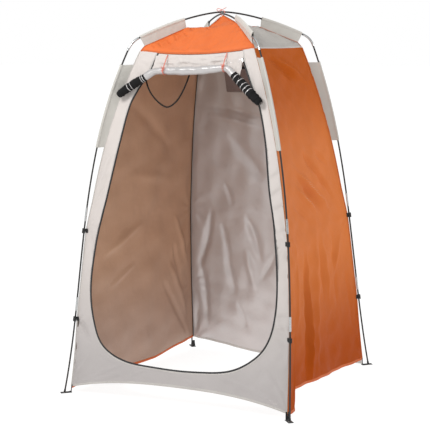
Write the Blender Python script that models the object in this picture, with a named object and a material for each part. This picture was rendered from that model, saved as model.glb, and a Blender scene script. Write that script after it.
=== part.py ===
"""Privacy shower tent: a square pole tent with a low hipped roof and a door rolled up at the front.

Units are metres. +Z is up, -Y is the doorway side and +X is the right-hand side for someone who
stands in front of the doorway. The origin is on the ground, midway between the four pole feet.
Fabric is modelled as thin closed panels that stop a few millimetres short of each seam.
"""

import math

import bpy
import numpy as np

# --- Frame ---------------------------------------------------------------------------------------

SHOULDER_HEIGHT = 1.796  # where a leg would meet the roof pole if the elbow were a sharp corner
CROWN_HEIGHT = 1.937  # pole centre where the two roof poles cross
ROOF_FALL, ROOF_POWER = 0.46, 1.6  # the roof pole drops by FALL * radius ** POWER
CROSSING_DROP, CROSSING_REACH = 0.0095, 0.30  # how far the lower roof pole ducks under the other
TIP_HEIGHT = 0.0015  # centre of the pole's end, so that its tilted rim stays above the ground
FERRULE_HEIGHT = 0.925  # joint between the two leg sections
ELBOW_BOTTOM = 1.757  # height where a leg enters its elbow
ELBOW_TOP = 0.441  # plan radius where the elbow ends on the roof
ELBOW_LAP = 0.006  # how far the elbow's tube reaches straight down the leg
LEG_END, ROOF_POLE_END = (0.12, 0.22), (0.78, 0.88)  # shares of the elbow that each pole's end takes
POLE_RADIUS, POLE_BORE = 0.00425, 0.0024
FERRULE_OUTER, FERRULE_INNER, FERRULE_LENGTH = 0.00575, 0.00475, 0.070
LOWER_STATIONS = 11  # places where the lower leg section bends
ELBOW_OUTER, ELBOW_INNER = 0.0060, 0.0049
SHOCK_CORD_RADIUS = 0.0013
JOINT_GAP = 0.0006  # between the ends of two pole sections

# --- Fabric --------------------------------------------------------------------------------------

FABRIC = 0.0020  # panel thickness
SEAM_GAP = 0.0032  # from a panel's edge to the seam line
PANEL_COLUMNS = (0.17, 0.33, 0.5, 0.67, 0.83)  # shares of a panel's width, between its two edges
WALL_ROWS = (0.0, 0.08, 0.2, 0.34, 0.47, 0.6, 0.75, 0.88, 1.0)  # shares of a wall's height
ROOF_ROWS = (0.993, 0.90, 0.72, 0.50, 0.30, 0.176, 0.06)  # shares of the way from the apex to the eave
TOP_GAP = 0.0015  # from a wall's top edge up to the eave line
EAVE_HEIGHTS = {"front_left": 1.747, "front_right": 1.760, "back_right": 1.747, "back_left": 1.747}
EAVE_SAG = {"front": 0.022, "right": 0.004, "back": 0.004, "left": 0.008}
# How far each corner seam lies inside its pole, by height.
SEAM_INSET = [(0.0, 0.034), (0.14, 0.026), (0.385, 0.0125), (0.84, 0.0125), (1.0, 0.028), (1.25, 0.040),
              (1.747, 0.068)]
# Height of the ridge seams, by the distance from the apex as a share of the distance to the eave.
RIDGE = [(0.0, 1.920), (0.06, 1.896), (0.176, 1.858), (0.444, 1.859), (0.956, 1.770)]
TAUT_RIDGE = [(0.0, 1.920), (0.25, 1.899), (0.475, 1.878), (0.725, 1.827), (0.967, 1.775)]
RIDGES = {"front_left": RIDGE, "front_right": TAUT_RIDGE, "back_right": RIDGE, "back_left": RIDGE}
SLEEVE_OUTER, SLEEVE_INNER = 0.0068, 0.0052
SLEEVE_TAIL = 0.0008  # half the thickness of the flap that joins a sleeve to its seam
# Heights of the wall sleeves' ends.
WALL_SLEEVES = {"front_left": (1.265, 1.680), "front_right": (1.278, 1.715), "back_right": (1.249, 1.667),
                "back_left": (1.265, 1.680)}
ROOF_SLEEVES = {
    # name: plan radii of its ends, and where its flap meets the ridge seam, as shares from the apex
    "front_left": ((0.434, 0.200), (0.950, 0.444)),
    "front_right": ((0.434, 0.200), (0.950, 0.444)),
    "back_right": ((0.434, 0.214), (0.950, 0.474)),
    "back_left": ((0.434, 0.255), (0.950, 0.563)),
}

# --- Doorway and door ------------------------------------------------------------------------------

# The doorway's edge on the front wall as (x, height), from the right-hand eave round to the left.
# The zip starts at the second point on each side, and its first stretch, which the slider travels,
# is straight.
DOORWAY_RIGHT = [(0.272, 1.745), (0.279, 1.716)]
DOORWAY_CURVE = [(0.352, 1.575), (0.407, 1.474), (0.455, 1.306), (0.492, 1.081), (0.529, 0.909),
                 (0.552, 0.700), (0.551, 0.519), (0.518, 0.372), (0.439, 0.270), (0.298, 0.195),
                 (0.093, 0.171), (-0.110, 0.171), (-0.306, 0.189), (-0.438, 0.260), (-0.493, 0.390),
                 (-0.513, 0.550), (-0.490, 0.762), (-0.427, 1.061), (-0.383, 1.283), (-0.345, 1.470),
                 (-0.305, 1.558)]
DOORWAY_LEFT = [(-0.246, 1.650), (-0.218, 1.725)]
CURVE_STEPS = 2
ZIP_WIDTH, ZIP_THICKNESS, ZIP_GAP = 0.010, 0.0024, 0.0005
SLIDER_LENGTH, SLIDER_WALL, SLIDER_PLAY = 0.014, 0.0018, 0.0007
SLIDER_TOP, SLIDER_EDGE = 0.004, 0.0035  # from the zip's top end and from the doorway's edge
PULL_LENGTH, PULL_WIDTH, PULL_THICKNESS = 0.015, 0.007, 0.0014
PULL_TOP, PULL_GAP = 0.009, 0.0004  # from the zip's top end and off the slider's face

# The rolled door's centre line as (x, height, radius), from its left tip to its right tip.
ROLL = [(-0.396, 1.528, 0.0205), (-0.330, 1.573, 0.0225), (-0.250, 1.618, 0.0205),
        (-0.200, 1.645, 0.0175), (-0.135, 1.651, 0.0190), (-0.060, 1.650, 0.0205),
        (0.040, 1.653, 0.0205), (0.130, 1.660, 0.0200), (0.205, 1.665, 0.0175), (0.246, 1.640, 0.0195),
        (0.290, 1.604, 0.0225), (0.351, 1.552, 0.0235), (0.419, 1.499, 0.0215)]
ROLL_STANDOFF = 0.034  # from the front wall to the roll's centre
FLAP_SPAN = (-0.190, 0.206)
FLAP_THICKNESS, FLAP_CLEARANCE = 0.0016, 0.0030
EAVE_GAP = 0.0045  # from the eave line down to what hangs from it
TIE_PLACES = {"left": -0.140, "right": 0.198}
TIE_WIDTH, TIE_THICKNESS, TIE_CLEARANCE = 0.005, 0.0014, 0.0030
TIE_SPREAD = np.array((0.0, 0.0070, 0.0))  # from the flap to where each end of a tie is sewn on
TIE_SHIFT = np.array((-0.012, 0.0, 0.0))  # from where a tie holds the roll to where it is sewn on
TIE_TURNS = (math.radians(128), math.radians(334))  # the arc that a tie takes round the roll

# The hanging cord's route as (x, height, distance inside the front wall).
LOOP_ROUTE = [(-0.272, 1.616, 0.007), (-0.265, 1.598, 0.011), (-0.257, 1.580, 0.013),
              (-0.246, 1.560, 0.014), (-0.229, 1.538, 0.016), (-0.209, 1.518, 0.018),
              (-0.185, 1.499, 0.019), (-0.160, 1.484, 0.020), (-0.142, 1.477, 0.020),
              (-0.127, 1.475, 0.020), (-0.112, 1.479, 0.019), (-0.098, 1.487, 0.018),
              (-0.082, 1.500, 0.017), (-0.067, 1.517, 0.016), (-0.053, 1.540, 0.015),
              (-0.041, 1.566, 0.014), (-0.030, 1.594, 0.012), (-0.021, 1.622, 0.010),
              (-0.014, 1.650, 0.009), (-0.008, 1.680, 0.008), (-0.003, 1.709, 0.007)]
LOOP_RADIUS = 0.0032

# --- Small parts ---------------------------------------------------------------------------------

CLIP_HEIGHTS = {"lower": 0.385, "upper": 0.840}
CLIP_OUTER, CLIP_INNER, CLIP_LENGTH = 0.0074, 0.0051, 0.024
CLIP_MOUTH = math.radians(45)  # half the gap that snaps over the pole
CLIP_BACK, CLIP_HALF_WIDTH = 0.0098, 0.0060  # the pad that is sewn to the corner seam
STRAP_OUTWARD, STRAP_INWARD, STRAP_WIDTH, STRAP_THICKNESS = 0.020, 0.038, 0.026, 0.0025
GROMMET_RADIUS = 0.0065
POCKET_SPAN, POCKET_HEIGHTS, POCKET_FABRIC = (-0.170, 0.185), (1.503, 1.640), 0.0014
POCKET_REST, POCKET_DEPTH = 0.0050, 0.0240  # its edges' and its front's distance from the wall
POCKET_ROUND = 0.006  # how far in from its edges the pocket is at its full depth
TIE_RING, TIE_CORD = 0.0135, 0.0016  # the apex cord's ring round both poles, and its radius
TIE_KNOT = np.array((0.0, 0.0, 0.004))  # from each end of the ring up to the knot
TIE_BOW = [(-0.034, -0.008, 0.000), (-0.018, -0.004, 0.006)]  # the cord's two ends, from the knot
TIE_TAIL = [(0.010, 0.004, 0.007), (0.022, 0.008, 0.017)]

CORNERS = {
    # name: foot, shoulder, outward bow of the upper leg, outward bow of the lower leg
    "front_left": ((-0.644, -0.600), (-0.352, -0.322), (-0.056, -0.052), (0.0, 0.0)),
    "front_right": ((0.644, -0.600), (0.364, -0.335), (0.087, -0.052), (0.027, 0.0)),
    "back_right": ((0.556, 0.600), (0.337, 0.345), (0.037, 0.040), (0.0, 0.0)),
    "back_left": ((-0.556, 0.600), (-0.337, 0.345), (-0.052, 0.040), (-0.010, 0.0)),
}
WALLS = {
    # name: the corners at its left and right ends for someone outside, facing it
    "front": ("front_left", "front_right"),
    "right": ("front_right", "back_right"),
    "back": ("back_right", "back_left"),
    "left": ("back_left", "front_left"),
}
ROOF_POLES = {
    # name: the two corners that it joins, and whether it is the lower one at the crossing
    "front_left_to_back_right": ("front_left", "back_right", False),
    "front_right_to_back_left": ("front_right", "back_left", True),
}

UP = np.array((0.0, 0.0, 1.0))
SLEEVE_STATIONS = {corner: np.linspace(*ends, 5) for corner, ends in WALL_SLEEVES.items()}


# --- Materials -----------------------------------------------------------------------------------

def material(name, colour, roughness, metallic=0.0):
    made = bpy.data.materials.new(name)
    made.use_nodes = True
    shader = made.node_tree.nodes["Principled BSDF"]
    shader.inputs["Base Color"].default_value = (*colour, 1.0)
    shader.inputs["Roughness"].default_value = roughness
    shader.inputs["Metallic"].default_value = metallic
    return made


def make_materials():
    return {
        "grey_fabric": material("grey_fabric", (0.62, 0.60, 0.57), 0.75),
        "orange_fabric": material("orange_fabric", (0.75, 0.22, 0.06), 0.75),
        "roll_fabric": material("roll_fabric", (0.78, 0.77, 0.75), 0.6),
        "pocket_fabric": material("pocket_fabric", (0.16, 0.16, 0.17), 0.8),
        "fibreglass": material("fibreglass", (0.06, 0.06, 0.065), 0.45),
        "steel": material("steel", (0.55, 0.55, 0.54), 0.35, 1.0),
        "black_plastic": material("black_plastic", (0.02, 0.02, 0.02), 0.5),
        "black_webbing": material("black_webbing", (0.03, 0.03, 0.03), 0.85),
        "zip_tape": material("zip_tape", (0.04, 0.04, 0.045), 0.6),
        "orange_cord": material("orange_cord", (0.80, 0.30, 0.22), 0.7),
        "elastic": material("elastic", (0.5, 0.5, 0.5), 0.9),
    }


# --- Mesh helpers --------------------------------------------------------------------------------

def mesh_object(name, points, faces, surface, smooth_angle=40):
    """A mesh object from points and faces, shaded smooth except over sharp edges."""
    mesh = bpy.data.meshes.new(name)
    mesh.from_pydata([tuple(map(float, p)) for p in points], [], faces)
    mesh.materials.append(surface)
    mesh.shade_smooth()
    mesh.set_sharp_from_angle(angle=math.radians(smooth_angle))
    made = bpy.data.objects.new(name, mesh)
    bpy.context.scene.collection.objects.link(made)
    return made


def unit(vector):
    return vector / np.linalg.norm(vector)


def path_frames(points, side):
    """(point, inward, side) at each point of a path: two unit vectors square to it, the second near side."""
    tangents = np.gradient(np.array(points), axis=0)
    frames = []
    for point, tangent in zip(points, tangents):
        inward = unit(np.cross(tangent, side))
        frames.append((point, inward, unit(np.cross(inward, tangent))))
    return frames


def ring(frame, radius, sides):
    point, inward, side = frame
    turns = [2 * math.pi * (i + 0.5) / sides for i in range(sides)]
    return [point + radius * (math.cos(a) * inward + math.sin(a) * side) for a in turns]


def solid_sweep(name, rings, surface):
    """A closed solid through rings of equally many points, with flat ends."""
    count = len(rings[0])
    points = [p for r in rings for p in r]
    faces = [tuple(range(count - 1, -1, -1)), tuple(range(len(points) - count, len(points)))]
    for k in range(len(rings) - 1):
        for i in range(count):
            j = (i + 1) % count
            faces.append((k * count + i, k * count + j, (k + 1) * count + j, (k + 1) * count + i))
    return facing_out(mesh_object(name, points, faces, surface))


def hollow_sweep(name, outer_rings, inner_rings, surface):
    """An open-ended tube whose outer and inner rings have equally many points."""
    count = len(outer_rings[0])
    points = [p for o, i in zip(outer_rings, inner_rings) for p in [*o, *i]]
    step, faces = 2 * count, []
    last = step * (len(outer_rings) - 1)
    for i in range(count):
        j = (i + 1) % count
        faces.append((i, count + i, count + j, j))
        faces.append((last + j, last + count + j, last + count + i, last + i))
        for k in range(0, last, step):
            faces.append((k + i, k + j, k + step + j, k + step + i))
            faces.append((k + count + j, k + count + i, k + step + count + i, k + step + count + j))
    return facing_out(mesh_object(name, points, faces, surface))


def facing_out(made):
    """Turns a closed mesh so that its faces point outwards."""
    mesh = made.data
    mesh.calc_loop_triangles()
    corners = np.array([[mesh.vertices[i].co for i in t.vertices] for t in mesh.loop_triangles])
    if np.linalg.det(corners - corners[0, 0]).sum() < 0:
        mesh.flip_normals()
    return made


def sheet(name, rows, thickness, surface):
    """A panel through rows of points, given its thickness half on each side."""
    wide = len(rows[0])
    points = [p for row in rows for p in row]
    faces = [
        (k * wide + i, k * wide + i + 1, (k + 1) * wide + i + 1, (k + 1) * wide + i)
        for k in range(len(rows) - 1)
        for i in range(wide - 1)
    ]
    made = mesh_object(name, points, faces, surface)
    thicken = made.modifiers.new("thickness", "SOLIDIFY")
    thicken.thickness = thickness
    thicken.offset = 0.0
    return made


def smooth_curve(points, steps):
    """Points along a Catmull-Rom curve through the given ones, with that many steps to a stretch."""
    points = [np.array(p, float) for p in points]
    padded = [2 * points[0] - points[1], *points, 2 * points[-1] - points[-2]]
    curve = []
    for k in range(len(points) - 1):
        a, b, c, d = padded[k : k + 4]
        for t in np.arange(steps) / steps:
            curve.append(0.5 * (2 * b + (c - a) * t + (2 * a - 5 * b + 4 * c - d) * t**2
                                + (3 * b - a - 3 * c + d) * t**3))
    return [*curve, points[-1]]


# --- Reference lines: poles, seams and wall surfaces -----------------------------------------------

def leg_point(corner, height):
    foot, shoulder, bow_high, bow_low = map(np.array, CORNERS[corner])
    t = height / SHOULDER_HEIGHT
    plan = foot + (shoulder - foot) * t + 6.75 * (bow_high * t**2 * (1 - t) + bow_low * t * (1 - t) ** 2)
    return np.array((*plan, height))


def roof_point(corner, radius, lower=False):
    outward = unit(np.array(CORNERS[corner][1]))
    height = CROWN_HEIGHT - ROOF_FALL * radius**ROOF_POWER
    if lower and radius < CROSSING_REACH:
        height -= CROSSING_DROP * (1 - (radius / CROSSING_REACH) ** 2) ** 2
    return np.array((*(outward * radius), height))


def elbow_point(corner, t):
    """The bent stretch between leg and roof pole, for t from 0 to 1."""
    start, end = leg_point(corner, ELBOW_BOTTOM), roof_point(corner, ELBOW_TOP)
    sharp = leg_point(corner, SHOULDER_HEIGHT)
    return start * (1 - t) ** 2 + sharp * 2 * t * (1 - t) + end * t**2


def pole_side(corner):
    """The level direction square to the plane of a corner's pole."""
    outward = unit(np.array(CORNERS[corner][1]))
    return np.array((-outward[1], outward[0], 0.0))


def seam_point(corner, height):
    pole = leg_point(corner, height)
    heights, insets = zip(*SEAM_INSET)
    inset = np.interp(height, heights, insets)
    plan = pole[:2] - unit(pole[:2]) * inset
    return np.array((*plan, height))


def ridge_point(corner, share):
    """On the ridge seam, for share from 0 at the apex to 1 at the eave."""
    eave = EAVE_HEIGHTS[corner]
    shares, heights = zip(*RIDGES[corner], (1.0, eave))
    plan = seam_point(corner, eave)[:2] * share
    return np.array((*plan, np.interp(share, shares, heights)))


def wall_point(wall, across, height):
    """On a wall, for across from 0 at its left seam to 1 at its right seam."""
    left, right = (seam_point(corner, height) for corner in WALLS[wall])
    return left * (1 - across) + right * across


def eave_height(wall, across):
    left, right = (EAVE_HEIGHTS[corner] for corner in WALLS[wall])
    return left * (1 - across) + right * across - EAVE_SAG[wall] * 4 * across * (1 - across)


def front_across(x, height):
    left, right = (seam_point(corner, height)[0] for corner in WALLS["front"])
    return (x - left) / (right - left)


def front_normal(x, height):
    """The front wall's outward normal."""
    up = wall_point("front", front_across(x, height), height + 0.01)
    here = wall_point("front", front_across(x, height), height)
    return unit(np.cross((1.0, 0.0, 0.0), up - here))


def front_point(x, height, outward=0.0):
    here = wall_point("front", front_across(x, height), height)
    return here + outward * front_normal(x, height)


def front_eave(x):
    return eave_height("front", front_across(x, EAVE_HEIGHTS["front_left"]))


def hem_height(wall, across):
    """Height of a wall's bottom edge above the ground."""
    rise = 1 - abs(2 * across - 1) ** 2.6
    if wall == "front":
        return 0.030 + 0.060 * rise
    if wall == "right":
        low_strip = across < 0.075  # beside the front pole the panel runs down almost to the ground
        return 0.022 if low_strip else 0.125 - 0.10 * (across - 0.075)
    if wall == "back":
        return 0.008 + 0.057 * max(0.0, across - 0.6) / 0.4
    return 0.022 + 0.040 * max(0.0, 0.35 - across) / 0.35


# --- Frame parts ---------------------------------------------------------------------------------

def tube(name, points, side, outer, inner, surface, sides=8):
    frames = path_frames(points, side)
    return hollow_sweep(name, [ring(f, outer, sides) for f in frames],
                        [ring(f, inner, sides) for f in frames], surface)


def upper_stations(corner):
    """Heights where the upper leg bends: the same as its sleeve's, so that the two stay clear."""
    below = np.linspace(FERRULE_HEIGHT + JOINT_GAP / 2, 1.18, 4)
    return [*below, *SLEEVE_STATIONS[corner], ELBOW_BOTTOM]


def make_leg(corner, mats):
    side = pole_side(corner)
    below = np.linspace(TIP_HEIGHT, FERRULE_HEIGHT - JOINT_GAP / 2, LOWER_STATIONS)
    lower = [leg_point(corner, z) for z in below]
    upper = [leg_point(corner, z) for z in upper_stations(corner)]
    upper += [elbow_point(corner, t) for t in LEG_END]
    tube(f"leg_lower_{corner}", lower, side, POLE_RADIUS, POLE_BORE, mats["fibreglass"])
    tube(f"leg_upper_{corner}", upper, side, POLE_RADIUS, POLE_BORE, mats["fibreglass"])
    half = FERRULE_LENGTH / 2
    ferrule = [leg_point(corner, FERRULE_HEIGHT + dz) for dz in np.linspace(-half, half, 3)]
    tube(f"leg_ferrule_{corner}", ferrule, side, FERRULE_OUTER, FERRULE_INNER, mats["steel"])
    elbow = [leg_point(corner, ELBOW_BOTTOM - ELBOW_LAP)]
    elbow += [elbow_point(corner, t) for t in np.linspace(0, 1, 7)]
    tube(f"elbow_{corner}", elbow, side, ELBOW_OUTER, ELBOW_INNER, mats["steel"])


def roof_route(start, end, lower):
    """A roof pole's centre line, with both of its ends inside the elbows."""
    radii = [ELBOW_TOP, 0.40, 0.35, 0.29, 0.23, 0.17, 0.11, 0.05]
    first = [elbow_point(start, t) for t in ROOF_POLE_END] + [roof_point(start, r, lower) for r in radii]
    second = [elbow_point(end, t) for t in ROOF_POLE_END] + [roof_point(end, r, lower) for r in radii]
    return [*first, roof_point(start, 0.0, lower), *second[::-1]]


def make_roof_pole(name, mats):
    start, end, lower = ROOF_POLES[name]
    tube(f"roof_pole_{name}", roof_route(start, end, lower), pole_side(start), POLE_RADIUS, POLE_BORE,
         mats["fibreglass"])


def make_shock_cord(name, mats):
    start, end, lower = ROOF_POLES[name]

    def leg_up(corner):
        below = np.linspace(TIP_HEIGHT + 0.004, FERRULE_HEIGHT, LOWER_STATIONS)
        leg = [leg_point(corner, z) for z in (*below, *upper_stations(corner)[1:])]
        return leg + [elbow_point(corner, t) for t in np.linspace(0, 0.7, 6)[1:]]

    route = [*leg_up(start), *roof_route(start, end, lower), *leg_up(end)[::-1]]
    frames = path_frames(route, pole_side(start))
    solid_sweep(f"shock_cord_{name}", [ring(f, SHOCK_CORD_RADIUS, 4) for f in frames], mats["elastic"])


def make_foot_strap(corner, mats):
    """A webbing strap flat on the ground, with the hole that the pole's tip stands in."""
    foot = np.array((*CORNERS[corner][0], 0.0))
    outward = np.array((math.copysign(1, foot[0]), math.copysign(1, foot[1]), 0.0)) / math.sqrt(2)
    across = np.cross(UP, outward)
    half = STRAP_WIDTH / 2
    corners = [(STRAP_OUTWARD, -half), (STRAP_OUTWARD, half), (-STRAP_INWARD, half), (-STRAP_INWARD, -half)]
    # The outline and the hole have twelve points each, three to a side of the strap.
    outline, hole = [], []
    for k in range(4):
        a, b = np.array(corners[k]), np.array(corners[(k + 1) % 4])
        outline += [a + (b - a) * i / 3 for i in range(3)]
    for u, v in outline:
        turn = math.atan2(v / half, u / half)
        hole.append((GROMMET_RADIUS * math.cos(turn), GROMMET_RADIUS * math.sin(turn)))
    levels = [0.0, STRAP_THICKNESS]
    outer = [[foot + p[0] * outward + p[1] * across + z * UP for p in outline] for z in levels]
    inner = [[foot + p[0] * outward + p[1] * across + z * UP for p in hole] for z in levels]
    hollow_sweep(f"foot_strap_{corner}", outer, inner, mats["black_webbing"])


def make_clip(corner, level, mats):
    """A snap-on clip: a hook open outwards, with the pad that is sewn to the corner seam."""
    height = CLIP_HEIGHTS[level]
    wide_turns = np.linspace(math.pi - CLIP_MOUTH, math.radians(45), 4)
    outline = [(CLIP_OUTER * math.cos(a), CLIP_OUTER * math.sin(a)) for a in wide_turns]
    outline += [(CLIP_BACK, CLIP_HALF_WIDTH), (CLIP_BACK, -CLIP_HALF_WIDTH)]
    outline += [(CLIP_OUTER * math.cos(a), -CLIP_OUTER * math.sin(a)) for a in wide_turns[::-1]]
    inner_turns = np.linspace(-(math.pi - CLIP_MOUTH), math.pi - CLIP_MOUTH, 8)
    outline += [(CLIP_INNER * math.cos(a), CLIP_INNER * math.sin(a)) for a in inner_turns]
    stretch = [leg_point(corner, height + dz) for dz in (-CLIP_LENGTH / 2, CLIP_LENGTH / 2)]
    frames = path_frames(stretch, -pole_side(corner))
    rings = [[f[0] + u * f[1] + v * f[2] for u, v in outline] for f in frames]
    solid_sweep(f"pole_clip_{corner}_{level}", rings, mats["black_plastic"])


# --- Fabric parts --------------------------------------------------------------------------------

def wall_columns(wall):
    edge = SEAM_GAP / 0.9
    columns = [edge, *PANEL_COLUMNS, 1 - edge]
    return [edge, 0.072, 0.080, *columns[2:]] if wall == "right" else columns


def make_wall(wall, mats):
    surface = mats["orange_fabric" if wall in ("left", "right") else "grey_fabric"]
    rows = []
    for share in WALL_ROWS:
        row = []
        for across in wall_columns(wall):
            low, high = hem_height(wall, across), eave_height(wall, across) - TOP_GAP
            row.append(wall_point(wall, across, low + (high - low) * share))
        rows.append(row)
    sheet(f"wall_{wall}", rows, FABRIC, surface)


def doorway_edge():
    """The doorway's edge as (x, height) points."""
    straight_right, straight_left = ([np.array(p) for p in side] for side in (DOORWAY_RIGHT, DOORWAY_LEFT))
    return straight_right + smooth_curve(DOORWAY_CURVE, CURVE_STEPS) + straight_left


def doorway_offset(edge, distance):
    """The doorway's edge moved towards the middle of the doorway, as (x, height) points."""
    along = np.gradient(np.array(edge), axis=0)
    return [p + distance * np.array((-t[1], t[0])) / -np.linalg.norm(t) for p, t in zip(edge, along)]


def make_front_wall(mats):
    """The U-shaped front panel round the doorway, as a band from the doorway's edge to the seams."""
    edge = doorway_edge()
    count = len(edge)
    side_count = round(count * 0.36)
    hem_count = count - 2 * side_count
    margin = SEAM_GAP / 0.7

    def seam_side(across, heights):
        return [wall_point("front", across, z) for z in heights]

    low_right, low_left = (hem_height("front", a) for a in (1 - margin, margin))
    right_heights = np.linspace(EAVE_HEIGHTS["front_right"] - TOP_GAP, low_right, side_count)
    left_heights = np.linspace(low_left, EAVE_HEIGHTS["front_left"] - TOP_GAP, side_count)
    hem_shares = [np.interp(k + 1, [0, hem_count + 1], [1 - margin, margin]) for k in range(hem_count)]
    hem = [wall_point("front", a, hem_height("front", a)) for a in hem_shares]
    outer = seam_side(1 - margin, right_heights) + hem + seam_side(margin, left_heights)
    inner = [front_point(x, z) for x, z in edge]
    for end in (0, -1):
        inner[end][2] = front_eave(edge[end][0]) - TOP_GAP
    middle = [(a + b) / 2 for a, b in zip(outer, inner)]
    sheet("wall_front", [outer, middle, inner], FABRIC, mats["grey_fabric"])


def make_zip(mats):
    """The zip's tape and coil, just inside the doorway's edge."""
    edge = doorway_edge()[1:-1]
    rows = [
        [front_point(x, z) for x, z in doorway_offset(edge, distance)]
        for distance in (ZIP_GAP, ZIP_GAP + ZIP_WIDTH)
    ]
    sheet("door_zip", rows, ZIP_THICKNESS, mats["zip_tape"])


def zip_stretch(side):
    """(top end, unit direction down the zip, unit direction into the doorway, outward normal)."""
    if side == "right":
        top, below = DOORWAY_RIGHT[-1], DOORWAY_CURVE[0]
    else:
        top, below = DOORWAY_LEFT[0], DOORWAY_CURVE[-1]
    start, end = front_point(*top), front_point(*below)
    down = unit(end - start)
    normal = front_normal(*top)
    normal = unit(normal - down * (normal @ down))
    inward = np.cross(down, normal)
    return start, down, inward if inward[0] * start[0] < 0 else -inward, normal


def make_slider(side, mats):
    """A slider that grips the zip from the doorway side, and its hanging pull tab."""
    start, down, inward, normal = zip_stretch(side)
    near, far = SLIDER_EDGE, ZIP_GAP + ZIP_WIDTH + SLIDER_PLAY
    gap = ZIP_THICKNESS / 2 + SLIDER_PLAY
    face = gap + SLIDER_WALL
    section = [(near, gap), (far, gap), (far, -gap), (near, -gap), (near, -face), (far + SLIDER_WALL, -face),
               (far + SLIDER_WALL, face), (near, face)]
    rings = [[start + s * down + u * inward + v * normal for u, v in section]
             for s in (SLIDER_TOP, SLIDER_TOP + SLIDER_LENGTH)]
    solid_sweep(f"zip_slider_{side}", rings, mats["steel"])
    middle = start + PULL_TOP * down + (near + far) / 2 * inward
    base = face + PULL_GAP
    half = PULL_WIDTH / 2
    section = [(-half, base), (half, base), (half, base + PULL_THICKNESS), (-half, base + PULL_THICKNESS)]
    rings = [[middle + s * down + u * inward + v * normal for u, v in section] for s in (0.0, PULL_LENGTH)]
    solid_sweep(f"pull_tab_{side}", rings, mats["steel"])


def roll_centre(x, height):
    return front_point(x, height) - np.array((0.0, ROLL_STANDOFF, 0.0))


def roll_point(x):
    """The roll's centre and radius where it passes x."""
    xs, heights, radii = zip(*ROLL)
    return roll_centre(x, np.interp(x, xs, heights)), np.interp(x, xs, radii)


def make_roll(mats):
    centres = [roll_centre(x, z) for x, z, _ in ROLL]
    frames = path_frames(centres, UP)
    rings = [ring(f, r, 10) for f, (_, _, r) in zip(frames, ROLL)]
    solid_sweep("door_roll", rings, mats["roll_fabric"])


def make_flap(mats):
    """The strip of door fabric from the eave down to the top of the roll, on its tent side."""
    tops, bottoms = [], []
    for x in np.linspace(*FLAP_SPAN, 7):
        centre, radius = roll_point(x)
        tops.append(front_point(x, front_eave(x) - EAVE_GAP))
        bottoms.append(centre + (radius + FLAP_CLEARANCE) * np.array((0.0, 0.6, 0.8)))
    sheet("door_flap", [tops, bottoms], FLAP_THICKNESS, mats["roll_fabric"])


def make_tie(side, mats):
    """A cord that drops from the eave in front of the roll, passes under it and goes back up behind."""
    x = TIE_PLACES[side]
    centre, radius = roll_point(x)
    eave = front_point(x, front_eave(x) - EAVE_GAP) + TIE_SHIFT
    route = [eave - TIE_SPREAD]
    for turn in np.linspace(*TIE_TURNS, 10):
        route.append(centre + (radius + TIE_CLEARANCE) * np.array((0.0, math.cos(turn), math.sin(turn))))
    route.append(eave + TIE_SPREAD)
    tangents = np.gradient(np.array(route), axis=0)
    rings = []
    for point, tangent in zip(route, tangents):
        out = unit(np.cross(tangent, (1.0, 0.0, 0.0)))
        w = np.array((TIE_WIDTH / 2, 0.0, 0.0))
        rings.append([point - w, point + w, point + w + out * TIE_THICKNESS, point - w + out * TIE_THICKNESS])
    solid_sweep(f"door_tie_{side}", rings, mats["orange_cord"])


def make_loop(mats):
    """The thin cord that hangs in a loop behind the rolled door."""
    through = [front_point(x, z, -inside) for x, z, inside in LOOP_ROUTE]
    curve = bpy.data.curves.new("hanging_cord", "CURVE")
    curve.dimensions = "3D"
    curve.bevel_depth = LOOP_RADIUS
    curve.bevel_resolution = 2
    curve.use_fill_caps = True
    route = smooth_curve(through, 2)
    spline = curve.splines.new("POLY")
    spline.points.add(len(route) - 1)
    for place, point in zip(spline.points, route):
        place.co = (*map(float, point), 1.0)
    curve.materials.append(mats["zip_tape"])
    made = bpy.data.objects.new("hanging_cord", curve)
    bpy.context.scene.collection.objects.link(made)


def make_roof_panel(wall, mats):
    surface = mats["orange_fabric" if wall in ("front", "back") else "grey_fabric"]
    left, right = WALLS[wall]
    rows = []
    for share in ROOF_ROWS:
        start, end = ridge_point(left, share), ridge_point(right, share)
        edge = SEAM_GAP / np.linalg.norm(end - start)
        sag = EAVE_SAG[wall] * max(0.0, (share - 0.5) / 0.5)
        rows.append([start * (1 - a) + end * a - UP * sag * 4 * a * (1 - a)
                     for a in (edge, *PANEL_COLUMNS, 1 - edge)])
    sheet(f"roof_{wall}", rows, FABRIC, surface)


def make_sleeve(name, poles, seams, side, surface):
    """A pole sleeve: a ring round the pole with a flap that reaches the seam."""
    turns = [math.radians(a) for a in (30, 90, 150, 210, 270, 330)]
    rings = []
    for (point, inward, across), seam in zip(path_frames(poles, side), seams):
        if (seam - point) @ inward < 0:
            inward, across = -inward, -across
        circle = [math.cos(a) * inward + math.sin(a) * across for a in turns]
        tail = seam - 0.0018 * unit(seam - point)
        outer = [point + SLEEVE_OUTER * c for c in circle]
        inner = [point + SLEEVE_INNER * c for c in circle]
        rings.append(outer + inner + [tail + SLEEVE_TAIL * across, tail - SLEEVE_TAIL * across])
    step, faces = len(rings[0]), []
    last = step * (len(rings) - 1)
    outline = [0, 1, 2, 3, 4, 5, 13, 12]
    for base, flip in ((0, False), (last, True)):
        caps = [(i, i + 1, i + 7, i + 6) for i in range(5)] + [(5, 0, 6, 11), (12, 0, 5, 13)]
        faces += [tuple(base + i for i in (cap[::-1] if flip else cap)) for cap in caps]
    for base in range(0, last, step):
        for i, j in zip(outline, outline[1:] + outline[:1]):
            faces.append((base + j, base + i, base + step + i, base + step + j))
        for i in range(6):
            j = (i + 1) % 6
            faces.append((base + 6 + i, base + 6 + j, base + step + 6 + j, base + step + 6 + i))
    facing_out(mesh_object(name, [p for r in rings for p in r], faces, surface))


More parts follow.
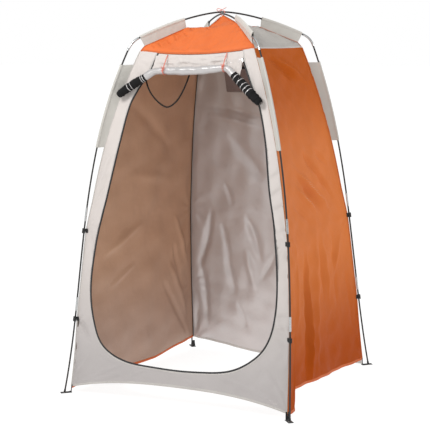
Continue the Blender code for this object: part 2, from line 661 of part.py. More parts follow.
def make_sleeves(corner, mats):
    side = pole_side(corner)
    heights = SLEEVE_STATIONS[corner]
    make_sleeve(f"wall_sleeve_{corner}", [leg_point(corner, z) for z in heights],
                [seam_point(corner, z) for z in heights], side, mats["grey_fabric"])
    lower = any(corner in ends[:2] and ends[2] for ends in ROOF_POLES.values())
    radii, shares = (np.linspace(*ends, 6) for ends in ROOF_SLEEVES[corner])
    make_sleeve(f"roof_sleeve_{corner}", [roof_point(corner, r, lower) for r in radii],
                [ridge_point(corner, s) for s in shares], side, mats["grey_fabric"])


def make_pocket(mats):
    """A shallow pocket inside the back wall, open at the top."""
    low, high = POCKET_HEIGHTS
    rows = []
    for height, depth in ((low, POCKET_REST), (low + POCKET_ROUND, POCKET_DEPTH), (high, POCKET_DEPTH)):
        row = []
        for k, x in enumerate((POCKET_SPAN[0], POCKET_SPAN[0] + POCKET_ROUND, 0.0,
                               POCKET_SPAN[1] - POCKET_ROUND, POCKET_SPAN[1])):
            left, right = (seam_point(c, height)[0] for c in WALLS["back"])
            here = wall_point("back", (x - left) / (right - left), height)
            row.append(here - np.array((0.0, POCKET_REST if k in (0, 4) else depth, 0.0)))
        rows.append(row)
    sheet("inner_pocket", rows, POCKET_FABRIC, mats["pocket_fabric"])


def make_apex_tie(mats):
    """The cord that ties the roof's apex up to the crossed poles, with its two free ends."""
    middle = np.array((0.0, 0.0, CROWN_HEIGHT - CROSSING_DROP / 2))
    open_half = math.asin(1.3 * TIE_CORD / TIE_RING)
    turns = np.linspace(math.pi / 2 + open_half, math.pi / 2 + 2 * math.pi - open_half, 15)
    around = [middle + TIE_RING * np.array((math.cos(a), 0.0, math.sin(a))) for a in turns]
    knot = around[0] + TIE_KNOT, around[-1] + TIE_KNOT
    left_end = [knot[0] + np.array(d) for d in TIE_BOW]
    right_end = [knot[1] + np.array(d) for d in TIE_TAIL]
    route = [*left_end, knot[0], *around, knot[1], *right_end]
    frames = path_frames(route, np.array((0.0, 1.0, 0.0)))
    solid_sweep("apex_tie", [ring(f, TIE_CORD, 6) for f in frames], mats["orange_cord"])


# --- Assembly ------------------------------------------------------------------------------------

def main():
    for made in list(bpy.data.objects):
        bpy.data.objects.remove(made, do_unlink=True)
    mats = make_materials()
    for corner in CORNERS:
        make_leg(corner, mats)
        make_foot_strap(corner, mats)
        make_sleeves(corner, mats)
        for level in CLIP_HEIGHTS:
            make_clip(corner, level, mats)
    for name in ROOF_POLES:
        make_roof_pole(name, mats)
        make_shock_cord(name, mats)
    make_front_wall(mats)
    for wall in ("right", "back", "left"):
        make_wall(wall, mats)
    for wall in WALLS:
        make_roof_panel(wall, mats)
    make_zip(mats)
    for side in ("left", "right"):
        make_slider(side, mats)
        make_tie(side, mats)
    make_flap(mats)
    make_roll(mats)
    make_loop(mats)
    make_pocket(mats)
    make_apex_tie(mats)


main()
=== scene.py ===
"""The looks of the privacy shower tent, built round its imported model.

Units are metres, in the model's own frame: +Z is up and the doorway faces -Y. The rules for poles, seams
and walls in the first part are those of the model's source, so that every piece of cloth, tube and cord made
here lies where its solid lies.
"""

import math

import bpy
import numpy as np
from mathutils import Matrix, Vector


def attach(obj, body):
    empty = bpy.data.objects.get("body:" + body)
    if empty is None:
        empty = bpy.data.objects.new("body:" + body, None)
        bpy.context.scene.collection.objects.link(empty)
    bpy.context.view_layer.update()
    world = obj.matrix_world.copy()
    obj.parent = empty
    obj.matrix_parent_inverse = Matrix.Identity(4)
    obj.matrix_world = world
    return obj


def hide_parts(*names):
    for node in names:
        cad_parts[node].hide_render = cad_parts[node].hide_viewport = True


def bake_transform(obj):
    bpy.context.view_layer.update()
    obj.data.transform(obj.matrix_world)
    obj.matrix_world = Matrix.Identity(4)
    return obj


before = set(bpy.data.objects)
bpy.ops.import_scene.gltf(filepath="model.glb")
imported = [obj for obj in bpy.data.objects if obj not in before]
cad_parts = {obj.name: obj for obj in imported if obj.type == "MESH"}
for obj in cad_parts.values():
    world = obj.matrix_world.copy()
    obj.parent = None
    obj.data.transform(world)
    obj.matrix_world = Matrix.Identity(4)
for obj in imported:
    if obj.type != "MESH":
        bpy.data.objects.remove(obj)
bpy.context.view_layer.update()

# --- Frame of the tent ---

SHOULDER_HEIGHT = 1.796
CROWN_HEIGHT = 1.937
ROOF_FALL, ROOF_POWER = 0.46, 1.6
CROSSING_DROP, CROSSING_REACH = 0.0095, 0.30
TIP_HEIGHT = 0.0015
FERRULE_HEIGHT, LOWER_FERRULE = 0.925, 0.463
ELBOW_BOTTOM, ELBOW_TOP = 1.757, 0.441
POLE_RADIUS, POLE_BORE = 0.00425, 0.0024
FERRULE_OUTER, FERRULE_INNER, FERRULE_LENGTH = 0.00575, 0.00475, 0.070
ELBOW_OUTER, ELBOW_INNER = 0.0060, 0.0049
JOINT_GAP = 0.0006
CLIP_HEIGHTS = {"lower": 0.385, "upper": 0.840}
PULLS = [
    # height, reach and size of the folds where a corner seam is held tight
    (0.03, 0.20, 0.0030), (CLIP_HEIGHTS["lower"], 0.14, 0.0026), (CLIP_HEIGHTS["upper"], 0.16, 0.0030),
    (1.25, 0.12, 0.0014), (1.70, 0.12, 0.0022),
]
CORNERS = {
    # name: foot, shoulder, outward bow of the upper leg, outward bow of the lower leg
    "front_left": ((-0.644, -0.600), (-0.352, -0.322), (-0.056, -0.052), (0.0, 0.0)),
    "front_right": ((0.644, -0.600), (0.364, -0.335), (0.087, -0.052), (0.027, 0.0)),
    "back_right": ((0.556, 0.600), (0.337, 0.345), (0.037, 0.040), (0.0, 0.0)),
    "back_left": ((-0.556, 0.600), (-0.337, 0.345), (-0.052, 0.040), (-0.010, 0.0)),
}
WALLS = {
    # name: the corners at its left and right ends for someone outside, facing it
    "front": ("front_left", "front_right"),
    "right": ("front_right", "back_right"),
    "back": ("back_right", "back_left"),
    "left": ("back_left", "front_left"),
}
ROOF_POLES = {
    "front_left_to_back_right": ("front_left", "back_right", False),
    "front_right_to_back_left": ("front_right", "back_left", True),
}

# --- Cloth ---

EAVE_HEIGHTS = {"front_left": 1.747, "front_right": 1.760, "back_right": 1.747, "back_left": 1.747}
EAVE_SAG = {"front": 0.022, "right": 0.004, "back": 0.004, "left": 0.008}
SEAM_INSET = [(0.0, 0.034), (0.14, 0.026), (0.385, 0.0125), (0.84, 0.0125), (1.0, 0.028), (1.25, 0.040),
              (1.747, 0.068)]
RIDGE = [(0.0, 1.920), (0.06, 1.896), (0.176, 1.858), (0.444, 1.859), (0.956, 1.770)]
TAUT_RIDGE = [(0.0, 1.920), (0.25, 1.899), (0.475, 1.878), (0.725, 1.827), (0.967, 1.775)]
RIDGES = {"front_left": RIDGE, "front_right": TAUT_RIDGE, "back_right": RIDGE, "back_left": RIDGE}
WALL_SLEEVES = {"front_left": (1.265, 1.680), "front_right": (1.278, 1.715), "back_right": (1.249, 1.667),
                "back_left": (1.265, 1.680)}
ROOF_SLEEVES = {
    # name: plan radii of its ends, where its flap meets the ridge seam as shares from the apex, and its slack
    "front_left": ((0.434, 0.200), (0.950, 0.444), 0.003),
    "front_right": ((0.434, 0.200), (0.950, 0.444), 0.018),
    "back_right": ((0.434, 0.214), (0.950, 0.474), 0.003),
    "back_left": ((0.434, 0.255), (0.950, 0.563), 0.002),
}
SLEEVE_RADIUS = 0.0062
CLOTH = 0.0009  # thickness of the tent's fabric
STRIP_REACH = (0.080, 0.098)  # where the right wall's hem steps up beside the front pole

DOORWAY_RIGHT = [(0.272, 1.745), (0.279, 1.716)]
DOORWAY_CURVE = [(0.352, 1.575), (0.407, 1.474), (0.455, 1.306), (0.492, 1.081), (0.529, 0.909),
                 (0.552, 0.700), (0.551, 0.519), (0.518, 0.372), (0.439, 0.270), (0.298, 0.195),
                 (0.093, 0.171), (-0.110, 0.171), (-0.306, 0.189), (-0.438, 0.260), (-0.493, 0.390),
                 (-0.513, 0.550), (-0.490, 0.762), (-0.427, 1.061), (-0.383, 1.283), (-0.345, 1.470),
                 (-0.305, 1.558)]
DOORWAY_LEFT = [(-0.246, 1.650), (-0.218, 1.725)]
ZIP_WIDTH, TOOTH_PITCH, COIL_SECTION = 0.010, 0.0024, (0.0052, 0.0022)

ROLL = [(-0.396, 1.528, 0.0205), (-0.330, 1.573, 0.0225), (-0.250, 1.618, 0.0205), (-0.200, 1.645, 0.0175),
        (-0.135, 1.651, 0.0190), (-0.060, 1.650, 0.0205), (0.040, 1.653, 0.0205), (0.130, 1.660, 0.0200),
        (0.205, 1.665, 0.0175), (0.246, 1.640, 0.0195), (0.290, 1.604, 0.0225), (0.351, 1.552, 0.0235),
        (0.419, 1.499, 0.0215)]
ROLL_STANDOFF = 0.034
DOOR_HEIGHTS, DOOR_HANGING = (1.733, 0.172), 0.080  # of its top and bottom edges, and down to the roll
ROLL_RADII = (0.0195, 0.0025)  # of the wound cloth's outermost and innermost turns
ROLL_WHITE = (-0.246, 0.256)  # between these the roll shows cloth, and beyond them the wound zip tape
ROLL_RINGS = (-0.337, -0.322, -0.266, -0.257, 0.272, 0.296, 0.318, 0.334, 0.350)  # cloth between its turns
TIE_PLACES = {"left": -0.140, "right": 0.198}
LOOP_ROUTE = [(-0.272, 1.616, 0.007), (-0.265, 1.598, 0.011), (-0.257, 1.580, 0.013), (-0.246, 1.560, 0.014),
              (-0.229, 1.538, 0.016), (-0.209, 1.518, 0.018), (-0.185, 1.499, 0.019), (-0.160, 1.484, 0.020),
              (-0.142, 1.477, 0.020), (-0.127, 1.475, 0.020), (-0.112, 1.479, 0.019), (-0.098, 1.487, 0.018),
              (-0.082, 1.500, 0.017), (-0.067, 1.517, 0.016), (-0.053, 1.540, 0.015), (-0.041, 1.566, 0.014),
              (-0.030, 1.594, 0.012), (-0.021, 1.622, 0.010), (-0.014, 1.650, 0.009), (-0.008, 1.680, 0.008),
              (-0.003, 1.709, 0.007)]
LOOP_RADIUS = 0.0040
PULL_CLEARANCE = -0.228  # the hanging part of the door starts here, beside the pull tab

POCKET_BOX = (-0.170, 0.185, 1.503, 1.640)  # its left and right sides, foot and rim
POCKET_DEPTH, POCKET_EDGE = 0.019, 0.006
TAPE_OVERHANG, TAPE_LIFT = 0.0015, 0.0006  # of a sewn-on tape past the cloth's edge and off its faces
EAVE_RAISED = 0.0008
HEM_WIDTH, EAVE_WIDTH, DOORWAY_BINDING, POCKET_BINDING = 0.014, 0.011, 0.009, 0.010
SEAM_WIDTH, RIDGE_WIDTH, WEBBING_WIDTH, TAB_HEIGHT = 0.0060, 0.0090, 0.018, 0.022
TIE_RADIUS, TIE_BOW_RADIUS, APEX_CORD_RADIUS, APEX_RING_RADIUS = 0.0012, 0.0010, 0.0016, 0.0135

# Folds in the walls, in millimetres: start and end (across the wall, above the ground), half width, height.
FOLDS = {
    "front": [
        (-420, 1140, -520, 940, 12, -7), (-430, 1200, -500, 1040, 10, 6), (-400, 1260, -490, 1120, 10, 5),
        (-530, 860, -490, 700, 9, -4), (-620, 400, -490, 260, 12, -9), (-610, 430, -490, 330, 12, 7),
        (-580, 50, -300, 180, 12, 10), (-520, 60, -280, 140, 12, 8), (-270, 120, -180, 160, 10, 6),
        (-450, 220, -340, 180, 10, 7), (-600, 90, -500, 220, 14, 6), (220, 180, 610, 50, 14, 10),
        (420, 140, 600, 50, 10, 8), (500, 240, 610, 100, 12, -6), (30, 140, 130, 100, 14, 6),
        (480, 1140, 560, 1180, 8, -5.5), (490, 1050, 570, 1110, 8, -6), (510, 990, 590, 1030, 8, -5.5),
        (540, 880, 600, 920, 8, -5), (530, 420, 630, 450, 10, 5), (520, 480, 630, 500, 9, -4),
        (-300, 1620, -330, 1700, 7, 4), (330, 1680, 410, 1400, 8, 4), (350, 1700, 440, 1440, 7, -3.5),
    ],
    "right": [
        (-220, 1180, 280, 880, 22, 14), (-170, 1120, 160, 900, 22, -12), (-240, 1080, 60, 910, 20, 14),
        (-50, 1240, 340, 960, 20, -13), (120, 1240, 330, 1120, 18, -8), (-300, 990, -50, 880, 16, -7),
        (-120, 1710, 270, 1560, 22, 14), (-200, 1730, 120, 1580, 18, -12), (-20, 840, -140, 80, 34, 8),
        (-200, 780, -280, 100, 40, -16), (-165, 760, -225, 100, 14, 13), (70, 820, 120, 440, 24, 8),
        (20, 800, 50, 460, 20, -7), (380, 780, 190, 500, 20, 7), (270, 800, 220, 360, 26, -5),
        (-360, 840, -420, 400, 20, 6), (400, 600, 450, 220, 28, -4),
    ],
    "left": [
        (-360, 680, -20, 820, 22, -9), (-300, 500, -50, 600, 20, -7), (320, 820, 480, 500, 18, -7),
        (280, 560, 500, 200, 20, -8), (310, 660, 420, 400, 16, 6), (220, 460, 510, 80, 20, 8),
        (-300, 1500, 200, 1200, 30, 6), (-200, 1100, 250, 1020, 30, -5),
    ],
    "back": [
        (-350, 840, -450, 500, 22, 12), (-450, 560, -430, 140, 22, 11), (-330, 1430, 50, 1360, 14, 7),
        (-320, 1380, 20, 1310, 14, -6), (-290, 760, -260, 500, 22, 10), (-280, 560, -230, 340, 22, 10),
        (-340, 810, 20, 860, 26, -3.5), (-130, 820, -50, 540, 23, 12), (-150, 620, -100, 380, 24, -12),
        (40, 600, -60, 440, 14, 9), (-220, 300, -170, 150, 14, 8), (-500, 240, -510, 60, 12, 6),
        (-250, 990, -210, 860, 20, 7), (-200, 1280, 0, 1020, 36, 8), (120, 1000, 200, 400, 40, -10),
        (280, 900, 360, 300, 30, 9),
    ],
}

# --- Studio ---

CAMERA_PLACE = (3.479, -6.571, 1.931)
CAMERA_TURNS = (28.334, 8.021, -0.999)  # degrees to the left, downwards and round the view's axis
CAMERA_SENSOR, CAMERA_LENS = 36.0, 119.84
LIGHTS = [
    # name, place, target, diameter and watts
    ("key", (-0.6, -2.9, 3.7), (0, -0.2, 1.2), 1.2, 66),
    ("side", (2.0, 2.2, 2.1), (0.45, 0.0, 0.8), 0.5, 17),
]
SKY = [(0.03, 1.0), (0.10, 0.34), (0.45, 0.40), (1.0, 1.0)]  # its brightness at steps up from the horizon
FLOOR_REACH, FLOOR_TONE, FLOOR_GLOW = 40, 0.2, 0.9


# --- Small helpers ---

def unit(vectors):
    vectors = np.asarray(vectors, float)
    return vectors / np.linalg.norm(vectors, axis=-1, keepdims=True)


def smooth_step(low, high, x):
    t = np.clip((x - low) / (high - low), 0.0, 1.0)
    return t * t * (3 - 2 * t)


def smooth_curve(points, steps):
    """Points along a Catmull-Rom curve through the given ones, with that many steps to a stretch."""
    points = [np.array(p, float) for p in points]
    padded = [2 * points[0] - points[1], *points, 2 * points[-1] - points[-2]]
    curve = []
    for k in range(len(points) - 1):
        a, b, c, d = padded[k : k + 4]
        for t in np.arange(steps) / steps:
            curve.append(0.5 * (2 * b + (c - a) * t + (2 * a - 5 * b + 4 * c - d) * t**2
                                + (3 * b - a - 3 * c + d) * t**3))
    return np.array([*curve, points[-1]])


def lengths_along(points):
    return np.concatenate([[0.0], np.cumsum(np.linalg.norm(np.diff(points, axis=0), axis=1))])


def evenly(points, count):
    """That many points at equal steps along a path."""
    along = lengths_along(points)
    wanted = np.linspace(0, 1, count) * along[-1]
    return np.stack([np.interp(wanted, along, points[:, k]) for k in range(points.shape[1])], axis=1)


# --- Poles, seams and wall surfaces ---

def with_height(plan, height):
    return np.concatenate([plan, np.broadcast_to(height, plan.shape[:-1])[..., None]], axis=-1)


def leg_point(corner, height):
    foot, shoulder, bow_high, bow_low = map(np.array, CORNERS[corner])
    height = np.asarray(height, float)
    t = height[..., None] / SHOULDER_HEIGHT
    plan = foot + (shoulder - foot) * t + 6.75 * (bow_high * t**2 * (1 - t) + bow_low * t * (1 - t) ** 2)
    return with_height(plan, height)


def roof_point(corner, radius, lower=False):
    radius = np.asarray(radius, float)
    height = CROWN_HEIGHT - ROOF_FALL * radius**ROOF_POWER
    if lower:
        height = height - CROSSING_DROP * (1 - np.minimum(radius / CROSSING_REACH, 1) ** 2) ** 2
    return with_height(radius[..., None] * unit(CORNERS[corner][1]), height)


def elbow_point(corner, t):
    start, end = leg_point(corner, ELBOW_BOTTOM), roof_point(corner, ELBOW_TOP)
    t = np.asarray(t, float)[..., None]
    return start * (1 - t) ** 2 + leg_point(corner, SHOULDER_HEIGHT) * 2 * t * (1 - t) + end * t**2


def pole_side(corner):
    outward = unit(CORNERS[corner][1])
    return np.array((-outward[1], outward[0], 0.0))


def seam_point(corner, height):
    pole = leg_point(corner, height)
    inset = np.interp(height, *zip(*SEAM_INSET))[..., None]
    return with_height(pole[..., :2] - unit(pole[..., :2]) * inset, height)


def ridge_point(corner, share):
    eave, share = EAVE_HEIGHTS[corner], np.asarray(share, float)
    plan = seam_point(corner, eave)[:2] * share[..., None]
    return with_height(plan, np.interp(share, *zip(*RIDGES[corner], (1.0, eave))))


def wall_point(wall, across, height):
    left, right = (seam_point(corner, height) for corner in WALLS[wall])
    across = np.asarray(across, float)[..., None]
    return left * (1 - across) + right * across


def eave_height(wall, across):
    left, right = (EAVE_HEIGHTS[corner] for corner in WALLS[wall])
    return left * (1 - across) + right * across - EAVE_SAG[wall] * 4 * across * (1 - across)


def hem_height(wall, across):
    if wall == "front":
        return 0.030 + 0.060 * (1 - np.abs(2 * across - 1) ** 2.6)
    if wall == "right":
        return 0.022 + smooth_step(*STRIP_REACH, across) * (0.103 - 0.10 * (across - 0.075))
    if wall == "back":
        return 0.008 + 0.057 * np.maximum(0.0, across - 0.6) / 0.4
    return 0.022 + 0.040 * np.maximum(0.0, 0.35 - across) / 0.35


def front_point(x, height, outward=0.0):
    """On the front wall, or that far outside it."""
    x, height = np.asarray(x, float), np.asarray(height, float)

    def here(z):
        left, right = (seam_point(corner, z)[..., 0] for corner in WALLS["front"])
        return wall_point("front", (x - left) / (right - left), z)

    slope = here(height + 0.005) - here(height - 0.005)
    normal = unit(np.cross((1.0, 0.0, 0.0), slope))
    return here(height) + np.asarray(outward)[..., None] * normal


def front_eave(x):
    left, right = (seam_point(c, EAVE_HEIGHTS["front_left"])[0] for c in WALLS["front"])
    return eave_height("front", (x - left) / (right - left))


def doorway_edge(count=0):
    """The doorway's edge as (x, height) points, from the right-hand eave round to the left."""
    edge = np.concatenate([DOORWAY_RIGHT, smooth_curve(DOORWAY_CURVE, 8), DOORWAY_LEFT])
    edge[0, 1], edge[-1, 1] = (front_eave(edge[k, 0]) for k in (0, -1))
    return evenly(edge, count) if count else edge


def roll_axis(count=240):
    """The rolled door's centre line, its radius and the directions to its back and downwards."""
    x, height, radius = smooth_curve(ROLL, 12).T
    line = front_point(x, height) - np.array((0.0, ROLL_STANDOFF, 0.0))
    both = evenly(np.column_stack([line, radius]), count)
    line, radius = both[:, :3], both[:, 3]
    tangent = unit(np.gradient(line, axis=0))
    back = unit(np.array((0.0, 1.0, 0.0)) - tangent * tangent[:, 1:2])
    down = unit(np.cross(tangent, back))
    return line, radius, back, down * -np.sign(down[:, 2:3])


# --- Wrinkles ---

WALL_SEEDS = {"right": 3, "left": 5, "back": 8}
ROOF_SEEDS = {"front": 31, "right": 33, "back": 35, "left": 37}


def waves(u, v, size, seed, count=6):
    """Smooth random swells about that far apart, mostly between -1 and 1."""
    draw = np.random.default_rng(seed)
    total = 0.0
    for _ in range(count):
        turn, phase = draw.uniform(0, 2 * math.pi, 2)
        pace = 2 * math.pi / (size * draw.uniform(0.7, 1.5))
        total = total + np.sin(pace * (u * math.cos(turn) + v * math.sin(turn)) + phase)
    return total / math.sqrt(count)


def folds(u, v, lines):
    """Soft raised or sunk lines, given in millimetres, that fade out towards both ends."""
    total = np.zeros_like(u)
    for u0, v0, u1, v1, width, height in 0.001 * np.array(lines):
        du, dv = u1 - u0, v1 - v0
        long = math.hypot(du, dv)
        share = ((u - u0) * du + (v - v0) * dv) / long**2
        away = ((u - u0) * dv - (v - v0) * du) / long
        away = away + 0.02 * long * np.sin(math.pi * share)  # no fold is quite straight
        fade = np.clip(1 - (2 * share - 1) ** 2, 0, 1)
        total += height * fade * np.exp(-((away / (width * (0.6 + 0.4 * fade))) ** 2))
    return total


def pulled(u, v, place, reach, count, height, phase):
    """Folds that run out from a point where the cloth is held tight."""
    du, dv = u - place[0], v - place[1]
    away = np.hypot(du, dv)
    swell = smooth_step(0.015, 0.06, away) * np.exp(-1.4 * away / reach)
    return height * swell * np.cos(count * np.arctan2(dv, du) + phase + 2 * np.sin(9 * away))


def tension(wall, u, v):
    """Folds from the wall's feet, clips, sleeves and shoulders."""
    total = np.zeros_like(u)
    axis = 0 if wall in ("front", "back") else 1
    for k, corner in enumerate(WALLS[wall]):
        for height, reach, size in PULLS:
            place = seam_point(corner, height)[axis], height
            total += pulled(u, v, place, reach, 9 + 2 * k, size, 1.3 * k + 7 * height)
    return total


# --- Materials ---

LOW_SHADE_HEIGHTS, HIGH_SHADE_HEIGHTS = (0.75, 0.10), (1.15, 1.60)  # heights between which cloth turns to painted shade, near the ground and under the roof
BAND_SCALE = 0.314  # a wave texture of this scale, divided by a distance, has bands that far apart
STITCH_WIDTH, STITCH_SHARE = 0.0010, 0.68  # a stitch's width, and its share of the pitch
RING_WIDTH = 0.0028  # of the cloth that shows between two turns of the roll's zip tape
CLOTH_OFFSET = 0.003  # from the places on the roll to the cloth's own


def srgb(red, green, blue):
    """Linear colour from the usual 0-255 values."""
    values = np.array((red, green, blue)) / 255
    linear = np.where(values <= 0.04045, values / 12.92, ((values + 0.055) / 1.055) ** 2.4)
    return (*linear, 1.0)


class Nodes:
    """A material's node tree, with short ways to add to it."""

    def __init__(self, name, colour, roughness, **sockets):
        self.material = bpy.data.materials.new(name)
        self.material.use_nodes = True
        self.tree = self.material.node_tree
        self.shader = self.tree.nodes["Principled BSDF"]
        self.shader.inputs["Base Color"].default_value = colour
        self.shader.inputs["Roughness"].default_value = roughness
        for socket, value in sockets.items():
            self.shader.inputs[socket.replace("_", " ").title().replace("Ior", "IOR")].default_value = value

    def add(self, kind, values=(), **settings):
        """A new node; values are (socket, value or socket to link) pairs."""
        node = self.tree.nodes.new(f"ShaderNode{kind}")
        for name, value in settings.items():
            setattr(node, name, value)
        for socket, value in values:
            if isinstance(value, bpy.types.NodeSocket):
                self.tree.links.new(value, node.inputs[socket])
            else:
                node.inputs[socket].default_value = value
        return node

    def coordinates(self, kind, scale=(1.0, 1.0, 1.0)):
        source = self.add("TexCoord").outputs[kind]
        return self.add("Mapping", [(0, source), (3, scale)]).outputs[0]

    def noise(self, place, scale, detail=3.0, roughness=0.5):
        made = self.add("TexNoise", [("Vector", place), ("Scale", scale), ("Detail", detail),
                                     ("Roughness", roughness)])
        return made.outputs[0]

    def maths(self, operation, a, b=0.0):
        return self.add("Math", [(0, a), (1, b)], operation=operation).outputs[0]

    def wave(self, place, scale, direction, distortion=0.0):
        made = self.add("TexWave", [("Vector", place), ("Scale", scale), ("Distortion", distortion)],
                        bands_direction=direction)
        return made.outputs[1]

    def between(self, factor, low, high):
        """low where factor is 0.25 or less, high where it is 0.75 or more."""
        ranged = self.add("MapRange", [(0, factor), (1, 0.25), (2, 0.75), (3, low), (4, high)])
        return ranged.outputs[0]

    def mix(self, factor, first, second):
        made = self.add("Mix", [(0, factor), (6, first), (7, second)], data_type="RGBA")
        return made.outputs[2]

    def tint(self, factor, colour, change):
        """Colour that swings between a darker and a lighter tone of itself."""
        dark = tuple(c * (1 - change) for c in colour[:3]) + (1.0,)
        light = tuple(min(1.0, c * (1 + change)) for c in colour[:3]) + (1.0,)
        return self.mix(self.between(factor, 0.0, 1.0), dark, light)

    def bumps(self, *layers):
        """Bump from (height socket, distance) layers."""
        normal = None
        for height, distance in layers:
            values = [("Height", height), ("Distance", distance), ("Strength", 1.0)]
            normal = self.add("Bump", values + ([("Normal", normal)] if normal else [])).outputs[0]
        self.tree.links.new(normal, self.shader.inputs["Normal"])

    def use(self, socket, output):
        self.tree.links.new(output, self.shader.inputs[socket])


def fabric(name, colour, roughness=0.62, change=0.05, thread=0.0007, weave=0.00006, hem=None, top=None,
           tape=None, **sockets):
    """Coated plain-weave cloth: threads both ways, faint slubs and an uneven coating.

    hem and top are painted shade: darker tones that it turns to near the ground and under the roof, and tape
    is the colour of the zip tape at the ends of the roll, on the cloth that has one.
    """
    nodes = Nodes(name, colour, roughness, **sockets)
    place = nodes.coordinates("UV")
    solid = nodes.coordinates("Object")
    threads = nodes.maths("MULTIPLY", *(nodes.wave(place, BAND_SCALE / thread, axis, 0.6) for axis in "XY"))
    cloudy = nodes.noise(solid, 5.0, 4.0, 0.6)
    slubs = nodes.noise(nodes.coordinates("UV", (900.0, 60.0, 1.0)), 1.0, 2.0)
    crumple = nodes.noise(solid, 22.0, 5.0, 0.6)
    shade = nodes.maths("ADD", nodes.maths("MULTIPLY", cloudy, 0.7), nodes.maths("MULTIPLY", slubs, 0.3))
    tone = nodes.tint(shade, colour, change)
    height = nodes.add("SeparateXYZ", [(0, solid)]).outputs[2]
    # painted shade: the cloth darkens towards the ground and under the roof, where less light reaches it
    for other, start, end in ((hem, *LOW_SHADE_HEIGHTS), (top, *HIGH_SHADE_HEIGHTS)):
        if other:
            share = nodes.add("MapRange", [(0, height), (1, start), (2, end)],
                              interpolation_type="SMOOTHSTEP").outputs[0]
            tone = nodes.mix(share, tone, nodes.tint(shade, other, change))
    rough = nodes.between(crumple, roughness - 0.07, roughness + 0.07)
    if tape:
        mask = tape_mask(nodes, place)
        tone = nodes.mix(mask, tone, tape)
        rough = nodes.maths("MAXIMUM", rough, nodes.maths("MULTIPLY", mask, 0.85))
    nodes.use("Base Color", tone)
    nodes.use("Roughness", rough)
    nodes.bumps((crumple, 0.0022), (threads, weave))
    return nodes.material


def tape_mask(nodes, place):
    """1 on the wound zip tape at the ends of the roll and 0 elsewhere; the cloth's u runs along the roll."""
    wander = nodes.maths("MULTIPLY", nodes.noise(nodes.coordinates("Object"), 60.0), 0.006)
    along = nodes.maths("ADD", nodes.add("SeparateXYZ", [(0, place)]).outputs[0], wander)
    left, right = (end + CLOTH_OFFSET for end in ROLL_WHITE)
    beyond = nodes.maths("LESS_THAN", along, left), nodes.maths("GREATER_THAN", along, right)
    mask = nodes.maths("MAXIMUM", *beyond)
    for ring in ROLL_RINGS:
        away = nodes.maths("ABSOLUTE", nodes.maths("SUBTRACT", along, ring + CLOTH_OFFSET))
        mask = nodes.maths("MULTIPLY", mask, nodes.maths("GREATER_THAN", away, RING_WIDTH / 2))
    return mask


def stitched(name, colour, thread_colour, rows, roughness=0.7, pitch=0.004):
    """Tape or hem fabric with dashed rows of stitches at the given distances from its middle."""
    nodes = Nodes(name, colour, roughness)
    split = nodes.add("SeparateXYZ", [(0, nodes.coordinates("UV"))])
    across, along = split.outputs[0], split.outputs[1]
    dash = nodes.maths("LESS_THAN", nodes.maths("FRACT", nodes.maths("DIVIDE", along, pitch)), STITCH_SHARE)
    lines = None
    for row in rows:
        away = nodes.maths("ABSOLUTE", nodes.maths("SUBTRACT", across, row))
        line = nodes.maths("LESS_THAN", away, STITCH_WIDTH / 2)
        lines = line if lines is None else nodes.maths("MAXIMUM", lines, line)
    stitch = nodes.maths("MULTIPLY", lines, dash)
    cloudy = nodes.noise(nodes.coordinates("Object"), 12.0)
    ribs = nodes.wave(nodes.coordinates("UV"), 350.0, "Y")
    nodes.use("Base Color", nodes.mix(stitch, nodes.tint(cloudy, colour, 0.07), thread_colour))
    nodes.bumps((ribs, 0.00005), (stitch, 0.0003))
    return nodes.material


def grained(name, colour, roughness, change=0.08, grain=300.0, depth=0.00005, stretch=(1.0, 1.0, 1.0),
            kind="Object", **sockets):
    """Plastic, metal or pole surface with a fine grain, stretched where the piece was drawn or brushed."""
    nodes = Nodes(name, colour, roughness, **sockets)
    place = nodes.coordinates(kind, stretch)
    fine, broad = nodes.noise(place, grain, 3.0), nodes.noise(place, grain / 12, 2.0)
    nodes.use("Base Color", nodes.tint(broad, colour, change))
    nodes.use("Roughness", nodes.between(fine, roughness - 0.08, roughness + 0.08))
    nodes.bumps((fine, depth))
    return nodes.material


def webbing(name, colour, pitch=0.0022, sheen=0.2):
    """Herringbone webbing or braid."""
    nodes = Nodes(name, colour, 0.8, sheen_weight=sheen)
    place = nodes.coordinates("Object")
    twill = nodes.wave(place, BAND_SCALE / pitch, "DIAGONAL", 1.5)
    fuzz = nodes.noise(place, 900.0, 2.0)
    nodes.use("Base Color", nodes.tint(twill, colour, 0.3))
    nodes.bumps((twill, 0.0002), (fuzz, 0.0001))
    return nodes.material
